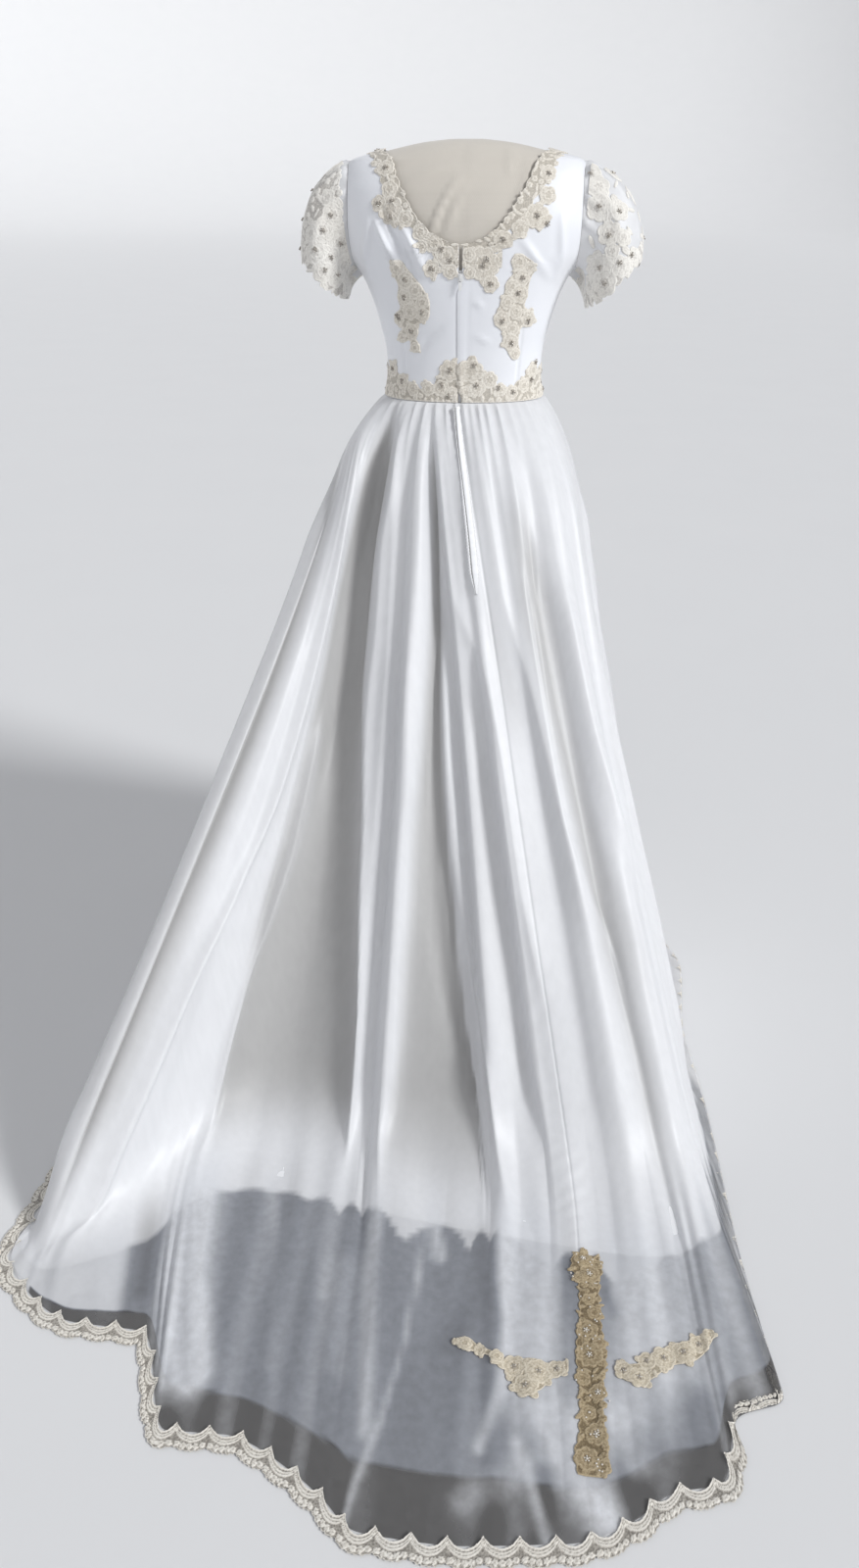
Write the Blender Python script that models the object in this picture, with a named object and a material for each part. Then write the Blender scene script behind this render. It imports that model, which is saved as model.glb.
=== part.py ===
"""A white wedding dress with a train, back view pose, standing on a limbless dress form.

Metres, +Z up. The dress faces -Y, its train runs along +Y, and +X is its left side. The origin is
the middle of the form's base disc, on the floor. Every cloth piece is a thin closed wall.
"""
import math

import bmesh
import bpy
import numpy as np

# ---------------------------------------------------------------- driving dimensions
SEAM_GAP = 0.0003          # between pieces that are sewn together
BODICE_WALL = 0.0015
SKIRT_WALL = 0.0012
SLEEVE_WALL = 0.0011
LACE_WALL = 0.0011
LACE_LIFT = 0.0008         # lace over a curved panel
WAIST = 1.04               # height of the waist seam
WAIST_HALF = 0.130
WAIST_DEPTH = 0.095
ROUNDNESS = 2.3            # superellipse power of the sections of the body and waist

FORM_BOTTOM = 0.80
FORM_COLUMNS = 24
POLE_RADIUS = 0.0125
BASE_RADIUS = 0.17
BASE_THICKNESS = 0.012

NECK_ROW = 8               # bodice row where the neckline leaves the centre line
ARM_ROW = 7                # bodice row where the armhole leaves the side seam
BODICE_ROWS = 16
BODICE_COLUMNS = 8
NECK_BOTTOM_BACK = 1.270
NECK_BOTTOM_FRONT = 1.300
UNDERARM = 1.225
SHOULDER_TIP = 1.383
ZIP_HALF = 0.0026          # half the opening between the two back panels

SLEEVE_COLUMNS = 20
SLEEVE_ROWS = 5

HIP_FLARE = 0.026          # how far the gathers push the skirt out below the waist
HIP_DROP = 0.12
BEND = 0.12                # half length of the soft bend where the skirt meets the floor
FLOOR_LEVEL = 0.0015       # inner face of the skirt where the lining or underlay lies below it
LINING_GAP_TOP = 0.0006
LINING_GAP = 0.009
LINING_FOLDS = 0.7         # how much of the folds the lining takes
GATHER = 0.0022            # the fine gathers at the waist seam, one every two columns
GATHER_LENGTH = 0.07
GATHER_SLOPE = 0.3         # the most a gather rises, as a share of its columns' pitch
SCALLOP = 0.066            # pitch of the scallops along the hem
LACE_WIDTH = 0.026         # hem lace, from the organza's edge to the outermost scallop
SCALLOP_DEPTH = 0.012
# The underlay's hem: (place between folds, share of the way over the floor to the lace) along it.
UNDERLAY_END = np.array([(2.0, 0.80), (4.0, 0.82), (5.0, 0.83), (6.0, 0.87), (7.5, 0.85), (10.0, 0.82),
                         (13.0, 0.85), (16.0, 0.86), (20.0, 0.78)])

# Sections of the body, bottom to top. cloth_half is the half width that the bodice is cut to,
# wider than the form above the underarm, where the sleeves begin.
TORSO_COLUMNS = ("height", "form_half", "cloth_half", "back", "front", "clearance")
TORSO = np.array([
    (0.800, 0.138, 0.138, 0.098, 0.088, 0.0035),
    (0.870, 0.148, 0.148, 0.106, 0.094, 0.0035),
    (0.950, 0.139, 0.139, 0.099, 0.090, 0.0035),
    (1.000, 0.128, 0.128, 0.092, 0.088, 0.0035),
    (1.040, 0.1225, 0.1255, 0.0885, 0.088, 0.0035),
    (1.075, 0.1190, 0.1205, 0.0865, 0.090, 0.0035),
    (1.110, 0.1215, 0.1225, 0.0880, 0.097, 0.0035),
    (1.150, 0.1310, 0.1315, 0.0930, 0.112, 0.0035),
    (1.190, 0.1430, 0.1440, 0.0980, 0.127, 0.0035),
    (1.225, 0.1560, 0.1600, 0.1010, 0.133, 0.0035),
    (1.260, 0.1660, 0.1840, 0.1020, 0.131, 0.0030),
    (1.300, 0.1700, 0.1960, 0.0990, 0.118, 0.0025),
    (1.340, 0.1710, 0.1950, 0.0880, 0.094, 0.0020),
    (1.365, 0.1680, 0.1880, 0.0740, 0.074, 0.0018),
    (1.383, 0.1520, 0.1770, 0.0590, 0.057, 0.0016),
    (1.394, 0.1300, 0.1400, 0.0500, 0.047, 0.0016),
    (1.403, 0.0980, 0.1030, 0.0410, 0.038, 0.0016),
    (1.410, 0.0600, 0.0650, 0.0290, 0.027, 0.0016),
    (1.414, 0.0240, 0.0280, 0.0140, 0.013, 0.0016),
])

# Half width of each neck opening at each bodice row above the neckline's lowest point.
NECKLINE_COLUMNS = ("row", "back_height", "back_half", "front_height", "front_half")
NECKLINE = np.array([
    (8, NECK_BOTTOM_BACK, ZIP_HALF, NECK_BOTTOM_FRONT, 0.000),
    (9, 1.277, 0.030, 1.304, 0.037),
    (10, 1.289, 0.053, 1.314, 0.065),
    (11, 1.309, 0.073, 1.331, 0.086),
    (12, 1.335, 0.090, 1.350, 0.100),
    (13, 1.359, 0.103, 1.367, 0.109),
    (14, 1.378, 0.112, 1.380, 0.115),
    (15, 1.3895, 0.119, 1.3900, 0.120),
    (16, 1.3975, 0.127, 1.3975, 0.127),
])

# The armhole seam, as a half width at each height.
ARMHOLE_COLUMNS = ("height", "half")
ARMHOLE = np.array([
    (UNDERARM, 0.170),
    (1.245, 0.1715),
    (1.275, 0.1755),
    (1.310, 0.1775),
    (1.345, 0.1780),
    (1.370, 0.1785),
    (SHOULDER_TIP, 0.1820),
])

# Outermost and innermost points of each cuff, seen from behind.
CUFF_COLUMNS = ("side", "outer_half", "outer_height", "inner_half", "inner_height", "depth")
CUFFS = {
    "left": (1, 0.262, 1.254, 0.190, 1.191, 0.064),
    "right": (-1, 0.277, 1.252, 0.193, 1.181, 0.066),
}

# The skirt's main folds, round from the left side seam over the back, the right side and the
# front. turn is the fold's place on the waist, in degrees from the centre back towards the left.
# contact is where it would meet the floor and hem is where it ends. high, middle and low are how
# far it stands out at 15, 50 and 85 % of its fall, and floor is its rise on the floor. sway is
# how far it leans to the left half way down.
FOLD_COLUMNS = ("turn", "contact_x", "contact_y", "hem_x", "hem_y",
                "high", "middle", "low", "floor", "sway")
FOLDS = np.array([
    (95, 0.478, 0.520, 0.545, 0.552, 0.000, 0.000, 0.000, 0.000, 0.000),
    (84, 0.550, 0.882, 0.579, 0.928, 0.008, 0.014, 0.018, 0.000, 0.000),
    (76, 0.522, 0.915, 0.522, 1.002, 0.000, 0.002, 0.002, 0.001, 0.000),
    (68, 0.465, 0.845, 0.430, 1.050, 0.006, 0.014, 0.016, 0.007, 0.000),
    (60, 0.402, 0.765, 0.335, 1.054, 0.000, 0.003, 0.000, 0.001, 0.000),
    (52, 0.345, 0.680, 0.262, 1.187, 0.002, 0.012, 0.018, 0.010, 0.000),
    (43, 0.233, 0.655, 0.190, 1.186, -0.007, -0.016, -0.006, 0.001, 0.000),
    (33, 0.121, 0.670, 0.100, 1.225, 0.004, 0.006, 0.007, 0.003, 0.000),
    (27, 0.092, 0.672, 0.060, 1.252, -0.004, -0.006, -0.002, 0.001, 0.000),
    (21, 0.069, 0.677, 0.012, 1.285, 0.007, 0.016, 0.018, 0.006, 0.000),
    (15, -0.089, 0.700, -0.078, 1.290, -0.007, -0.017, -0.020, 0.001, 0.000),
    (11, -0.123, 0.703, -0.140, 1.285, 0.002, 0.008, 0.014, 0.004, 0.000),
    (8, -0.176, 0.710, -0.190, 1.279, 0.004, -0.006, -0.012, 0.001, 0.000),
    (4, -0.207, 0.713, -0.222, 1.275, 0.006, 0.012, 0.008, 0.002, 0.000),
    (0, -0.233, 0.716, -0.248, 1.268, 0.002, 0.010, 0.008, 0.002, 0.000),
    (-11, -0.276, 0.720, -0.292, 1.245, -0.004, -0.004, -0.002, 0.001, 0.000),
    (-22, -0.320, 0.722, -0.345, 1.205, 0.007, 0.010, 0.010, 0.004, 0.000),
    (-34, -0.362, 0.715, -0.402, 1.188, -0.004, -0.005, -0.004, 0.001, 0.000),
    (-47, -0.398, 0.695, -0.430, 1.105, 0.007, 0.011, 0.011, 0.005, 0.000),
    (-60, -0.424, 0.655, -0.494, 1.066, -0.003, -0.005, -0.004, 0.001, 0.000),
    (-74, -0.425, 0.560, -0.468, 0.820, 0.006, 0.009, 0.009, 0.003, 0.000),
    (-90, -0.412, 0.340, -0.458, 0.356, 0.000, 0.000, 0.000, 0.000, 0.000),
    (-104, -0.420, 0.134, -0.470, 0.148, 0.006, 0.004, 0.000, 0.000, 0.000),
    (-117, -0.365, -0.022, -0.415, -0.028, -0.004, -0.004, 0.000, 0.000, 0.000),
    (-130, -0.346, -0.160, -0.394, -0.184, 0.006, 0.004, 0.000, 0.000, 0.000),
    (-144, -0.255, -0.243, -0.290, -0.280, -0.004, -0.005, 0.000, 0.000, 0.000),
    (-158, -0.192, -0.344, -0.217, -0.390, 0.006, 0.004, 0.000, 0.000, 0.000),
    (-171, -0.090, -0.352, -0.102, -0.402, -0.003, -0.004, 0.000, 0.000, 0.000),
    (-184, 0.011, -0.392, 0.012, -0.444, 0.005, 0.003, 0.000, 0.000, 0.000),
    (-197, 0.104, -0.354, 0.118, -0.404, -0.004, -0.004, 0.000, 0.000, 0.000),
    (-209, 0.205, -0.350, 0.230, -0.396, 0.006, 0.004, 0.000, 0.000, 0.000),
    (-221, 0.279, -0.238, 0.318, -0.272, -0.004, -0.005, 0.000, 0.000, 0.000),
    (-233, 0.374, -0.142, 0.422, -0.160, 0.006, 0.004, 0.000, 0.000, 0.000),
    (-244, 0.400, 0.008, 0.452, 0.006, -0.004, -0.004, 0.000, 0.000, 0.000),
    (-254, 0.456, 0.180, 0.507, 0.186, 0.005, 0.004, 0.000, 0.000, 0.000),
    (-260, 0.474, 0.352, 0.524, 0.370, -0.002, -0.003, 0.000, 0.000, 0.000),
])
RIGHT_SEAM_FOLD = 21
CENTRE_FOLD = 14

# How far down each skirt row lies: shares of the straight fall, of the bend and of the floor.
FALL_ROWS = (0.0, 0.04, 0.10, 0.20, 0.34, 0.52, 0.76, 1.0)
BEND_ROWS = (0.5, 1.0)
FLOOR_ROWS = (0.4, 0.92, 1.0)
LINING_FALL_ROWS = (0.0, 0.10, 0.24, 0.52, 1.0)

# Lace beside the neck: how far it reaches from the neckline at each bodice row.
NECK_LACE_COLUMNS = ("row", "back_reach", "front_reach")
NECK_LACE = np.array([
    (7, 0.030, 0.012),
    (8, 0.056, 0.040),
    (9, 0.040, 0.034),
    (10, 0.028, 0.028),
    (11, 0.026, 0.026),
    (12, 0.031, 0.028),
    (13, 0.035, 0.030),
    (14, 0.036, 0.032),
    (16, 0.034, 0.034),
])
NECK_OVERHANG = 0.006

# Top of the waist lace at each distance from the centre back.
WAIST_LACE_COLUMNS = ("half", "height")
WAIST_LACE = np.array([(0.000, 1.106), (0.030, 1.100), (0.050, 1.070), (0.080, 1.068),
                       (0.105, 1.090), (0.126, 1.104)])

# The lace spray beside the zip on each back panel.
SPRAY_COLUMNS = ("height", "inner", "outer")
SPRAY = np.array([
    (1.116, 0.068, 0.084),
    (1.130, 0.058, 0.094),
    (1.150, 0.062, 0.088),
    (1.172, 0.046, 0.098),
    (1.192, 0.054, 0.092),
    (1.214, 0.044, 0.104),
    (1.236, 0.052, 0.098),
    (1.250, 0.066, 0.088),
])

# The cross of lace sprays on the train: half width of the upright and of the arms.
UPRIGHT_COLUMNS = ("y", "x", "half")
UPRIGHT = np.array([(0.850, -0.248, 0.021), (0.875, -0.248, 0.024), (0.900, -0.250, 0.016),
                    (0.960, -0.251, 0.017), (1.010, -0.251, 0.022), (1.060, -0.250, 0.017),
                    (1.120, -0.249, 0.018), (1.150, -0.248, 0.023), (1.170, -0.248, 0.018)])
ARMS = {
    "left": np.array([(-0.072, 1.006, 0.004), (-0.090, 1.010, 0.014), (-0.108, 1.016, 0.006),
                      (-0.135, 1.030, 0.006), (-0.160, 1.046, 0.030), (-0.180, 1.046, 0.032),
                      (-0.204, 1.036, 0.014), (-0.222, 1.030, 0.011)]),
    "right": np.array([(-0.282, 1.026, 0.012), (-0.305, 1.032, 0.019), (-0.330, 1.020, 0.022),
                       (-0.352, 1.002, 0.019), (-0.376, 0.994, 0.022), (-0.396, 0.982, 0.017),
                       (-0.412, 0.966, 0.006)]),
}
CROSS_STEP = 0.0115

PLACKET_LENGTH = 0.21
PLACKET_HALF = 0.005
ZIP_TOP = 1.236
SLIDER_HEIGHT = 1.2260     # middle of the slider
SLIDER_SIZE = (0.0076, 0.0022, 0.0110)
CROWN_SIZE = (0.0018, 0.0034, 0.0090)
CROWN_STRAP = 0.0009
PULL_BAR_LIFT = 0.00135    # the pull's bar, above the slider's face
PULL_BAR = 0.0011
PULL_WIDTH = 0.0056
PULL_WINDOW = (0.0028, 0.0062)
PULL_LENGTH = 0.0185
PULL_THICKNESS = 0.0009

# colour, roughness, metallic
FINISHES = {
    "satin": ((0.86, 0.87, 0.90), 0.38, 0.0),
    "organza": ((0.90, 0.90, 0.92), 0.45, 0.0),
    "lace": ((0.80, 0.74, 0.64), 0.75, 0.0),
    "tan_lace": ((0.66, 0.57, 0.44), 0.75, 0.0),
    "linen": ((0.66, 0.61, 0.54), 0.85, 0.0),
    "steel": ((0.70, 0.70, 0.70), 0.35, 1.0),
    "white_metal": ((0.85, 0.85, 0.85), 0.35, 0.3),
}


# ---------------------------------------------------------------- curves through tables
def curve(places, values, at):
    """A smooth curve through a table's points that never overshoots them."""
    places, values, at = (np.asarray(v, float) for v in (places, values, at))
    step = np.diff(places)
    slope = np.diff(values) / step
    tangent = np.zeros(len(places))
    same = slope[:-1] * slope[1:] > 0
    tangent[1:-1][same] = 2 * (slope[:-1] * slope[1:])[same] / (slope[:-1] + slope[1:])[same]
    tangent[0], tangent[-1] = slope[0], slope[-1]
    i = np.clip(np.searchsorted(places, at, side="right") - 1, 0, len(step) - 1)
    t = np.clip((at - places[i]) / step[i], 0, 1)
    return (values[i] * (1 + 2 * t) * (1 - t) ** 2 + values[i + 1] * t ** 2 * (3 - 2 * t)
            + step[i] * (tangent[i] * t * (1 - t) ** 2 - tangent[i + 1] * t ** 2 * (1 - t)))


def look_up(table, columns, name, at):
    """The named column of a table at a place on its first column."""
    return curve(table[:, 0], table[:, columns.index(name)], at)


def ring_curve(values, at):
    """A smooth closed curve through evenly numbered values that never overshoots them."""
    count, lap = len(values), 3
    places = np.arange(-lap, count + lap + 1)
    return curve(places, np.asarray(values, float)[places % count], at)


def unit(vectors):
    return vectors / np.maximum(np.linalg.norm(vectors, axis=-1, keepdims=True), 1e-12)


def sample(grid, row, column):
    """Points on a grid's own flat facets, or straight past its edge."""
    row, column = np.broadcast_arrays(np.asarray(row, float), np.asarray(column, float))
    i = np.clip(np.floor(row).astype(int), 0, grid.shape[0] - 2)
    j = np.clip(np.floor(column).astype(int), 0, grid.shape[1] - 2)
    s, t = (row - i)[..., None], (column - j)[..., None]
    start, end = grid[i, j], grid[i + 1, j + 1]
    above, beside = grid[i, j + 1], grid[i + 1, j]
    return start + np.where(t >= s, t * (above - start) + s * (end - above),
                            s * (beside - start) + t * (end - beside))


def locate(grid, axes, targets):
    """The row and column where each target lies on the grid's facets, seen along one axis."""
    flat = grid[..., axes]
    start, end = flat[:-1, :-1], flat[1:, 1:]
    above, beside = flat[:-1, 1:], flat[1:, :-1]
    found = []
    for target in np.asarray(targets, float).reshape(-1, 2):
        best = (1e9, 0.0, 0.0)
        off = target - start
        for upper, (across, down) in enumerate(((end - beside, beside - start),
                                                (above - start, end - above))):
            area = across[..., 0] * down[..., 1] - across[..., 1] * down[..., 0]
            area = np.where(np.abs(area) < 1e-12, 1e-12, area)
            t = (off[..., 0] * down[..., 1] - off[..., 1] * down[..., 0]) / area
            s = (across[..., 0] * off[..., 1] - across[..., 1] * off[..., 0]) / area
            order = s - t if upper else t - s
            miss = np.maximum.reduce([-s, s - 1, -t, t - 1, order, 0 * s])
            i, j = np.unravel_index(np.argmin(miss), miss.shape)
            if miss[i, j] < best[0]:
                best = (miss[i, j], i + s[i, j], j + t[i, j])
        found.append(best[1:])
    row, column = np.array(found).T
    shape = np.asarray(targets).shape[:-1]
    return row.reshape(shape), column.reshape(shape)


# ---------------------------------------------------------------- objects
def finish(name, kind):
    colour, roughness, metallic = FINISHES[kind]
    material = bpy.data.materials.new(name)
    material.use_nodes = True
    shader = material.node_tree.nodes["Principled BSDF"]
    shader.inputs["Base Color"].default_value = (*colour, 1.0)
    shader.inputs["Roughness"].default_value = roughness
    shader.inputs["Metallic"].default_value = metallic
    return material


def add_mesh(name, points, faces, kind):
    mesh = bpy.data.meshes.new(name)
    mesh.from_pydata([tuple(p) for p in points], [], faces)
    mesh.validate()
    shell = bmesh.new()
    shell.from_mesh(mesh)
    if shell.calc_volume(signed=True) < 0:
        bmesh.ops.reverse_faces(shell, faces=shell.faces)
    shell.to_mesh(mesh)
    shell.free()
    mesh.shade_smooth()
    mesh.set_sharp_from_angle(angle=math.radians(50))
    mesh.materials.append(finish(name, kind))
    piece = bpy.data.objects.new(name, mesh)
    bpy.context.collection.objects.link(piece)
    return piece


def add_wall(name, patches, kind):
    """One closed wall over patches of cloth, each a grid of outer and one of inner points.

    Points that two patches share are welded, and every open edge gets a rim.
    """
    known, outside, inside, faces = {}, [], [], []
    for outer, inner in patches:
        numbers = np.zeros(outer.shape[:2], int)
        for place in np.ndindex(numbers.shape):
            key = tuple(np.round(outer[place], 6))
            if key not in known:
                known[key] = len(outside)
                outside.append(outer[place])
                inside.append(inner[place])
            numbers[place] = known[key]
        for r in range(outer.shape[0] - 1):
            for c in range(outer.shape[1] - 1):
                a, b, c2, d = (int(n) for n in (numbers[r, c], numbers[r, c + 1],
                                                numbers[r + 1, c + 1], numbers[r + 1, c]))
                faces += [(a, b, c2), (a, c2, d)]
    faces = [f for f in faces if len(set(f)) == 3]
    count = len(outside)
    used = {edge for f in faces for edge in zip(f, f[1:] + f[:1])}
    rims = [(b, a, a + count, b + count) for a, b in sorted(used) if (b, a) not in used]
    backs = [tuple(n + count for n in reversed(f)) for f in faces]
    return add_mesh(name, outside + inside, faces + backs + rims, kind)


def add_block(name, centre, size, kind, sides=0):
    """A box, or an upright round bar if it has sides."""
    shape = bmesh.new()
    if sides:
        bmesh.ops.create_cone(shape, cap_ends=True, segments=sides, radius1=size[0] / 2,
                              radius2=size[0] / 2, depth=size[2])
    else:
        bmesh.ops.create_cube(shape, size=1.0)
        bmesh.ops.scale(shape, vec=size, verts=shape.verts)
    mesh = bpy.data.meshes.new(name)
    shape.to_mesh(mesh)
    shape.free()
    mesh.materials.append(finish(name, kind))
    piece = bpy.data.objects.new(name, mesh)
    piece.location = centre
    bpy.context.collection.objects.link(piece)
    return piece


def combine(piece, other, operation):
    """Joins another solid to this one, or cuts it away, and hides the other."""
    change = piece.modifiers.new(other.name, "BOOLEAN")
    change.operation = operation
    change.object = other
    other.hide_render = True
    other.display_type = "WIRE"


# ---------------------------------------------------------------- the body's surface
def body_point(turn, height, half_name):
    """A point on the body: turn in degrees from the centre back towards the left."""
    turn, height = np.broadcast_arrays(np.asarray(turn, float), np.asarray(height, float))
    half, back, front = (look_up(TORSO, TORSO_COLUMNS, n, height)
                         for n in (half_name, "back", "front"))
    s, c = np.sin(np.radians(turn)), np.cos(np.radians(turn))
    power = 2 / ROUNDNESS
    x = half * np.sign(s) * np.abs(s) ** power
    y = np.where(c > 0, back, front) * np.sign(c) * np.abs(c) ** power
    return np.stack([x, y, height], -1)


def cloth_point(turn, height, out):
    """A point of the bodice, moved out from its inner face along the surface's own normal."""
    small_turn, small_rise = 0.5, 0.001
    base = body_point(turn, height, "cloth_half")
    along = (body_point(turn + small_turn, height, "cloth_half")
             - body_point(turn - small_turn, height, "cloth_half"))
    up = (body_point(turn, height + small_rise, "cloth_half")
          - body_point(turn, height - small_rise, "cloth_half"))
    normal = unit(np.cross(up, along))
    level = np.clip((height - WAIST) / 0.03, 0, 1)
    normal[..., 2] *= level
    normal = unit(normal)
    clearance = look_up(TORSO, TORSO_COLUMNS, "clearance", height)
    return base + normal * (clearance + out)[..., None]


def turn_at(half, height):
    """The turn at which the cloth's section is this far from the middle."""
    reach = look_up(TORSO, TORSO_COLUMNS, "cloth_half", height)
    share = np.clip(np.asarray(half, float) / reach, 0, 1)
    return np.degrees(np.arcsin(share ** (ROUNDNESS / 2)))


# ---------------------------------------------------------------- bodice
def bodice_panel(side, face):
    """Outer and inner grids of half a bodice: rows go up, columns go out to the side seam."""
    rows = np.arange(BODICE_ROWS + 1)
    bottom = WAIST + SEAM_GAP
    neck_bottom = NECK_BOTTOM_BACK if face == "back" else NECK_BOTTOM_FRONT
    centre_half = ZIP_HALF if face == "back" else 0.0
    height_in = np.where(rows <= NECK_ROW, bottom + (neck_bottom - bottom) * rows / NECK_ROW,
                         look_up(NECKLINE, NECKLINE_COLUMNS, face + "_height", rows))
    half_in = np.where(rows <= NECK_ROW, centre_half,
                       look_up(NECKLINE, NECKLINE_COLUMNS, face + "_half", rows))
    arm_share = np.clip((rows - ARM_ROW) / (BODICE_ROWS - ARM_ROW), 0, 1)
    arm_height = UNDERARM + (SHOULDER_TIP - UNDERARM) * (1 - (1 - arm_share) ** 1.5)
    height_out = np.where(rows <= ARM_ROW, bottom + (UNDERARM - bottom) * rows / ARM_ROW,
                          arm_height)
    seam_turn = 90 - np.degrees(SEAM_GAP / 2 / 0.09)
    turn_out = np.where(rows <= ARM_ROW, seam_turn,
                        turn_at(look_up(ARMHOLE, ARMHOLE_COLUMNS, "half", arm_height),
                                height_out))
    turn_in = turn_at(half_in, height_in)
    turn_in[-1] = turn_out[-1] = seam_turn
    share = np.linspace(0, 1, BODICE_COLUMNS + 1)
    height = height_in[:, None] * (1 - share) + height_out[:, None] * share
    turn = turn_in[:, None] * (1 - share) + turn_out[:, None] * share
    if face == "front":
        turn = 180 - turn
    turn = side * turn
    return cloth_point(turn, height, BODICE_WALL), cloth_point(turn, height, 0.0)


def body_normals(grid):
    """Outward directions at a bodice grid's points."""
    normal = unit(np.cross(np.gradient(grid, axis=1), np.gradient(grid, axis=0)))
    outward = grid * (1, 1, 0)
    normal = normal * np.where((normal * outward).sum(-1, keepdims=True) < 0, -1, 1)
    normal[..., 0] *= np.abs(grid[..., 0]) > 1e-6
    return unit(normal)


def lace_on(grid, row, column):
    """Outer and inner points of lace that lies on a bodice panel."""
    out = unit(sample(body_normals(grid), row, column))
    base = sample(grid, row, column)
    return base + out * (LACE_LIFT + LACE_WALL), base + out * LACE_LIFT


def both_halves(left, right):
    """Two mirrored patches, the right one turned round so that their faces agree."""
    return [left, tuple(grid[:, ::-1] for grid in right)]


def build_bodice(panels):
    for side_name in ("left", "right"):
        add_wall("bodice_back_" + side_name, [panels["back", side_name]], "satin")
    add_wall("bodice_front", both_halves(panels["front", "left"], panels["front", "right"]),
             "satin")


def neck_lace(panel, face):
    """A scalloped band of lace along one side of the neckline."""
    grid = panel[0]
    steps = 2
    rows = np.linspace(ARM_ROW, BODICE_ROWS, (BODICE_ROWS - ARM_ROW) * steps + 1)
    reach = look_up(NECK_LACE, NECK_LACE_COLUMNS, face + "_reach", rows)
    wave = np.arange(len(rows)) % 2
    length = np.linalg.norm(sample(grid, rows, 1.0) - sample(grid, rows, 0.0), axis=-1)
    above = rows > NECK_ROW + 0.01
    inner = np.where(above, -NECK_OVERHANG + 0.003 * wave, 0.0004 if face == "back" else 0.0)
    outer = reach - 0.005 * wave
    distance = inner[:, None] + (outer - inner)[:, None] * np.array([0, 0.45, 1])
    columns = np.clip(distance / length[:, None], -1, BODICE_COLUMNS)
    return lace_on(grid, rows[:, None], columns)


def waist_lace(panel):
    """A band of lace above the waist seam with a scalloped top."""
    grid = panel[0]
    steps = 2
    columns = np.linspace(0, BODICE_COLUMNS, BODICE_COLUMNS * steps + 1)
    half = np.abs(sample(grid, 0, columns)[:, 0])
    wave = np.arange(len(columns)) % 2
    top = look_up(WAIST_LACE, WAIST_LACE_COLUMNS, "height", half) - 0.004 * wave
    bottom = WAIST + 3 * SEAM_GAP
    heights = bottom + (top - bottom) * np.array([0, 0.5, 1])[:, None]
    start = sample(grid, 0, columns)[:, 2]
    row_height = sample(grid, 1, columns)[:, 2] - start
    return lace_on(grid, (heights - start) / row_height, columns[None, :])


def spray_lace(panel, side):
    """The upright spray of flowers between the zip and the side seam."""
    grid = panel[0]
    heights = np.linspace(SPRAY[0, 0], SPRAY[-1, 0], 13)
    inner = look_up(SPRAY, SPRAY_COLUMNS, "inner", heights)
    outer = look_up(SPRAY, SPRAY_COLUMNS, "outer", heights)
    across = np.linspace(0, 1, 5)
    x = side * (inner[:, None] + (outer - inner)[:, None] * across)
    z = np.broadcast_to(heights[:, None], x.shape)
    row, column = locate(grid, [0, 2], np.stack([x, z], -1))
    return lace_on(grid, row, column)


def build_bodice_lace(panels):
    for side_name, side in (("left", 1), ("right", -1)):
        back = panels["back", side_name]
        add_wall("neckline_lace_back_" + side_name, [neck_lace(back, "back")], "lace")
        add_wall("waist_lace_back_" + side_name, [waist_lace(back)], "lace")
        add_wall("bodice_spray_" + side_name, [spray_lace(back, side)], "lace")
    left, right = panels["front", "left"], panels["front", "right"]
    add_wall("neckline_lace_front", both_halves(neck_lace(left, "front"),
                                                neck_lace(right, "front")), "lace")
    add_wall("waist_lace_front", both_halves(waist_lace(left), waist_lace(right)), "lace")


# ---------------------------------------------------------------- sleeves
def armhole_loop(panels, side_name):
    """The bodice's edge round one armhole, from the shoulder down the back and up the front."""
    rows = np.arange(BODICE_ROWS, ARM_ROW - 1, -1)
    back = panels["back", side_name][0][rows, -1]
    front = panels["front", side_name][0][rows, -1]
    loop = np.concatenate([back, front[::-1]])
    grid = np.stack([loop, loop])
    places = np.linspace(0, len(loop) - 1, SLEEVE_COLUMNS + 1)
    points = sample(grid, 0, places)
    points[-1] = points[0]
    return points


def sleeve_grid(panels, side_name):
    """Outer and inner grids of a short puffed sleeve: rows go out from the armhole."""
    side, outer_half, outer_height, inner_half, inner_height, depth = CUFFS[side_name]
    loop = armhole_loop(panels, side_name)
    middle = loop[:-1].mean(0)
    flat = (loop - middle) * (0, 1, 1)
    inset = 0.0007
    start = loop - unit(flat) * inset + np.array((side * inset, 0, 0))
    turn = np.linspace(0, 2 * math.pi, SLEEVE_COLUMNS + 1)
    top = np.array((side * outer_half, 0, outer_height))
    bottom = np.array((side * inner_half, 0, inner_height))
    end = ((top + bottom) / 2 + np.cos(turn)[:, None] * (top - bottom) / 2
           + np.sin(turn)[:, None] * np.array((0, depth, 0)))
    upper = ((1 + np.cos(turn)) / 2)[:, None]
    leave = unit(upper * (side * 0.90, 0, -0.30) + (1 - upper) * (side * 0.75, 0, -0.40))
    arrive = unit(upper * (side * -0.02, 0, -1.0) + (1 - upper) * (side * 0.30, 0, -0.95))
    reach = np.linalg.norm(end - start, axis=-1, keepdims=True)
    first, second = start + leave * reach * 0.42, end - arrive * reach * 0.40
    t = np.linspace(0, 1, SLEEVE_ROWS + 1)[:, None, None]
    outer = ((1 - t) ** 3 * start + 3 * t * (1 - t) ** 2 * first
             + 3 * t ** 2 * (1 - t) * second + t ** 3 * end)
    centre = outer[:, :-1].mean(1, keepdims=True)
    away = unit(outer - centre)
    gather = 0.0012 * np.cos(np.arange(SLEEVE_COLUMNS + 1) * math.pi)[:, None] * upper
    outer = outer + away * gather * (4 * t * (1 - t) ** 3)
    outer[:, -1] = outer[:, 0]
    away[:, -1] = away[:, 0]
    return outer, outer - away * SLEEVE_WALL


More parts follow.
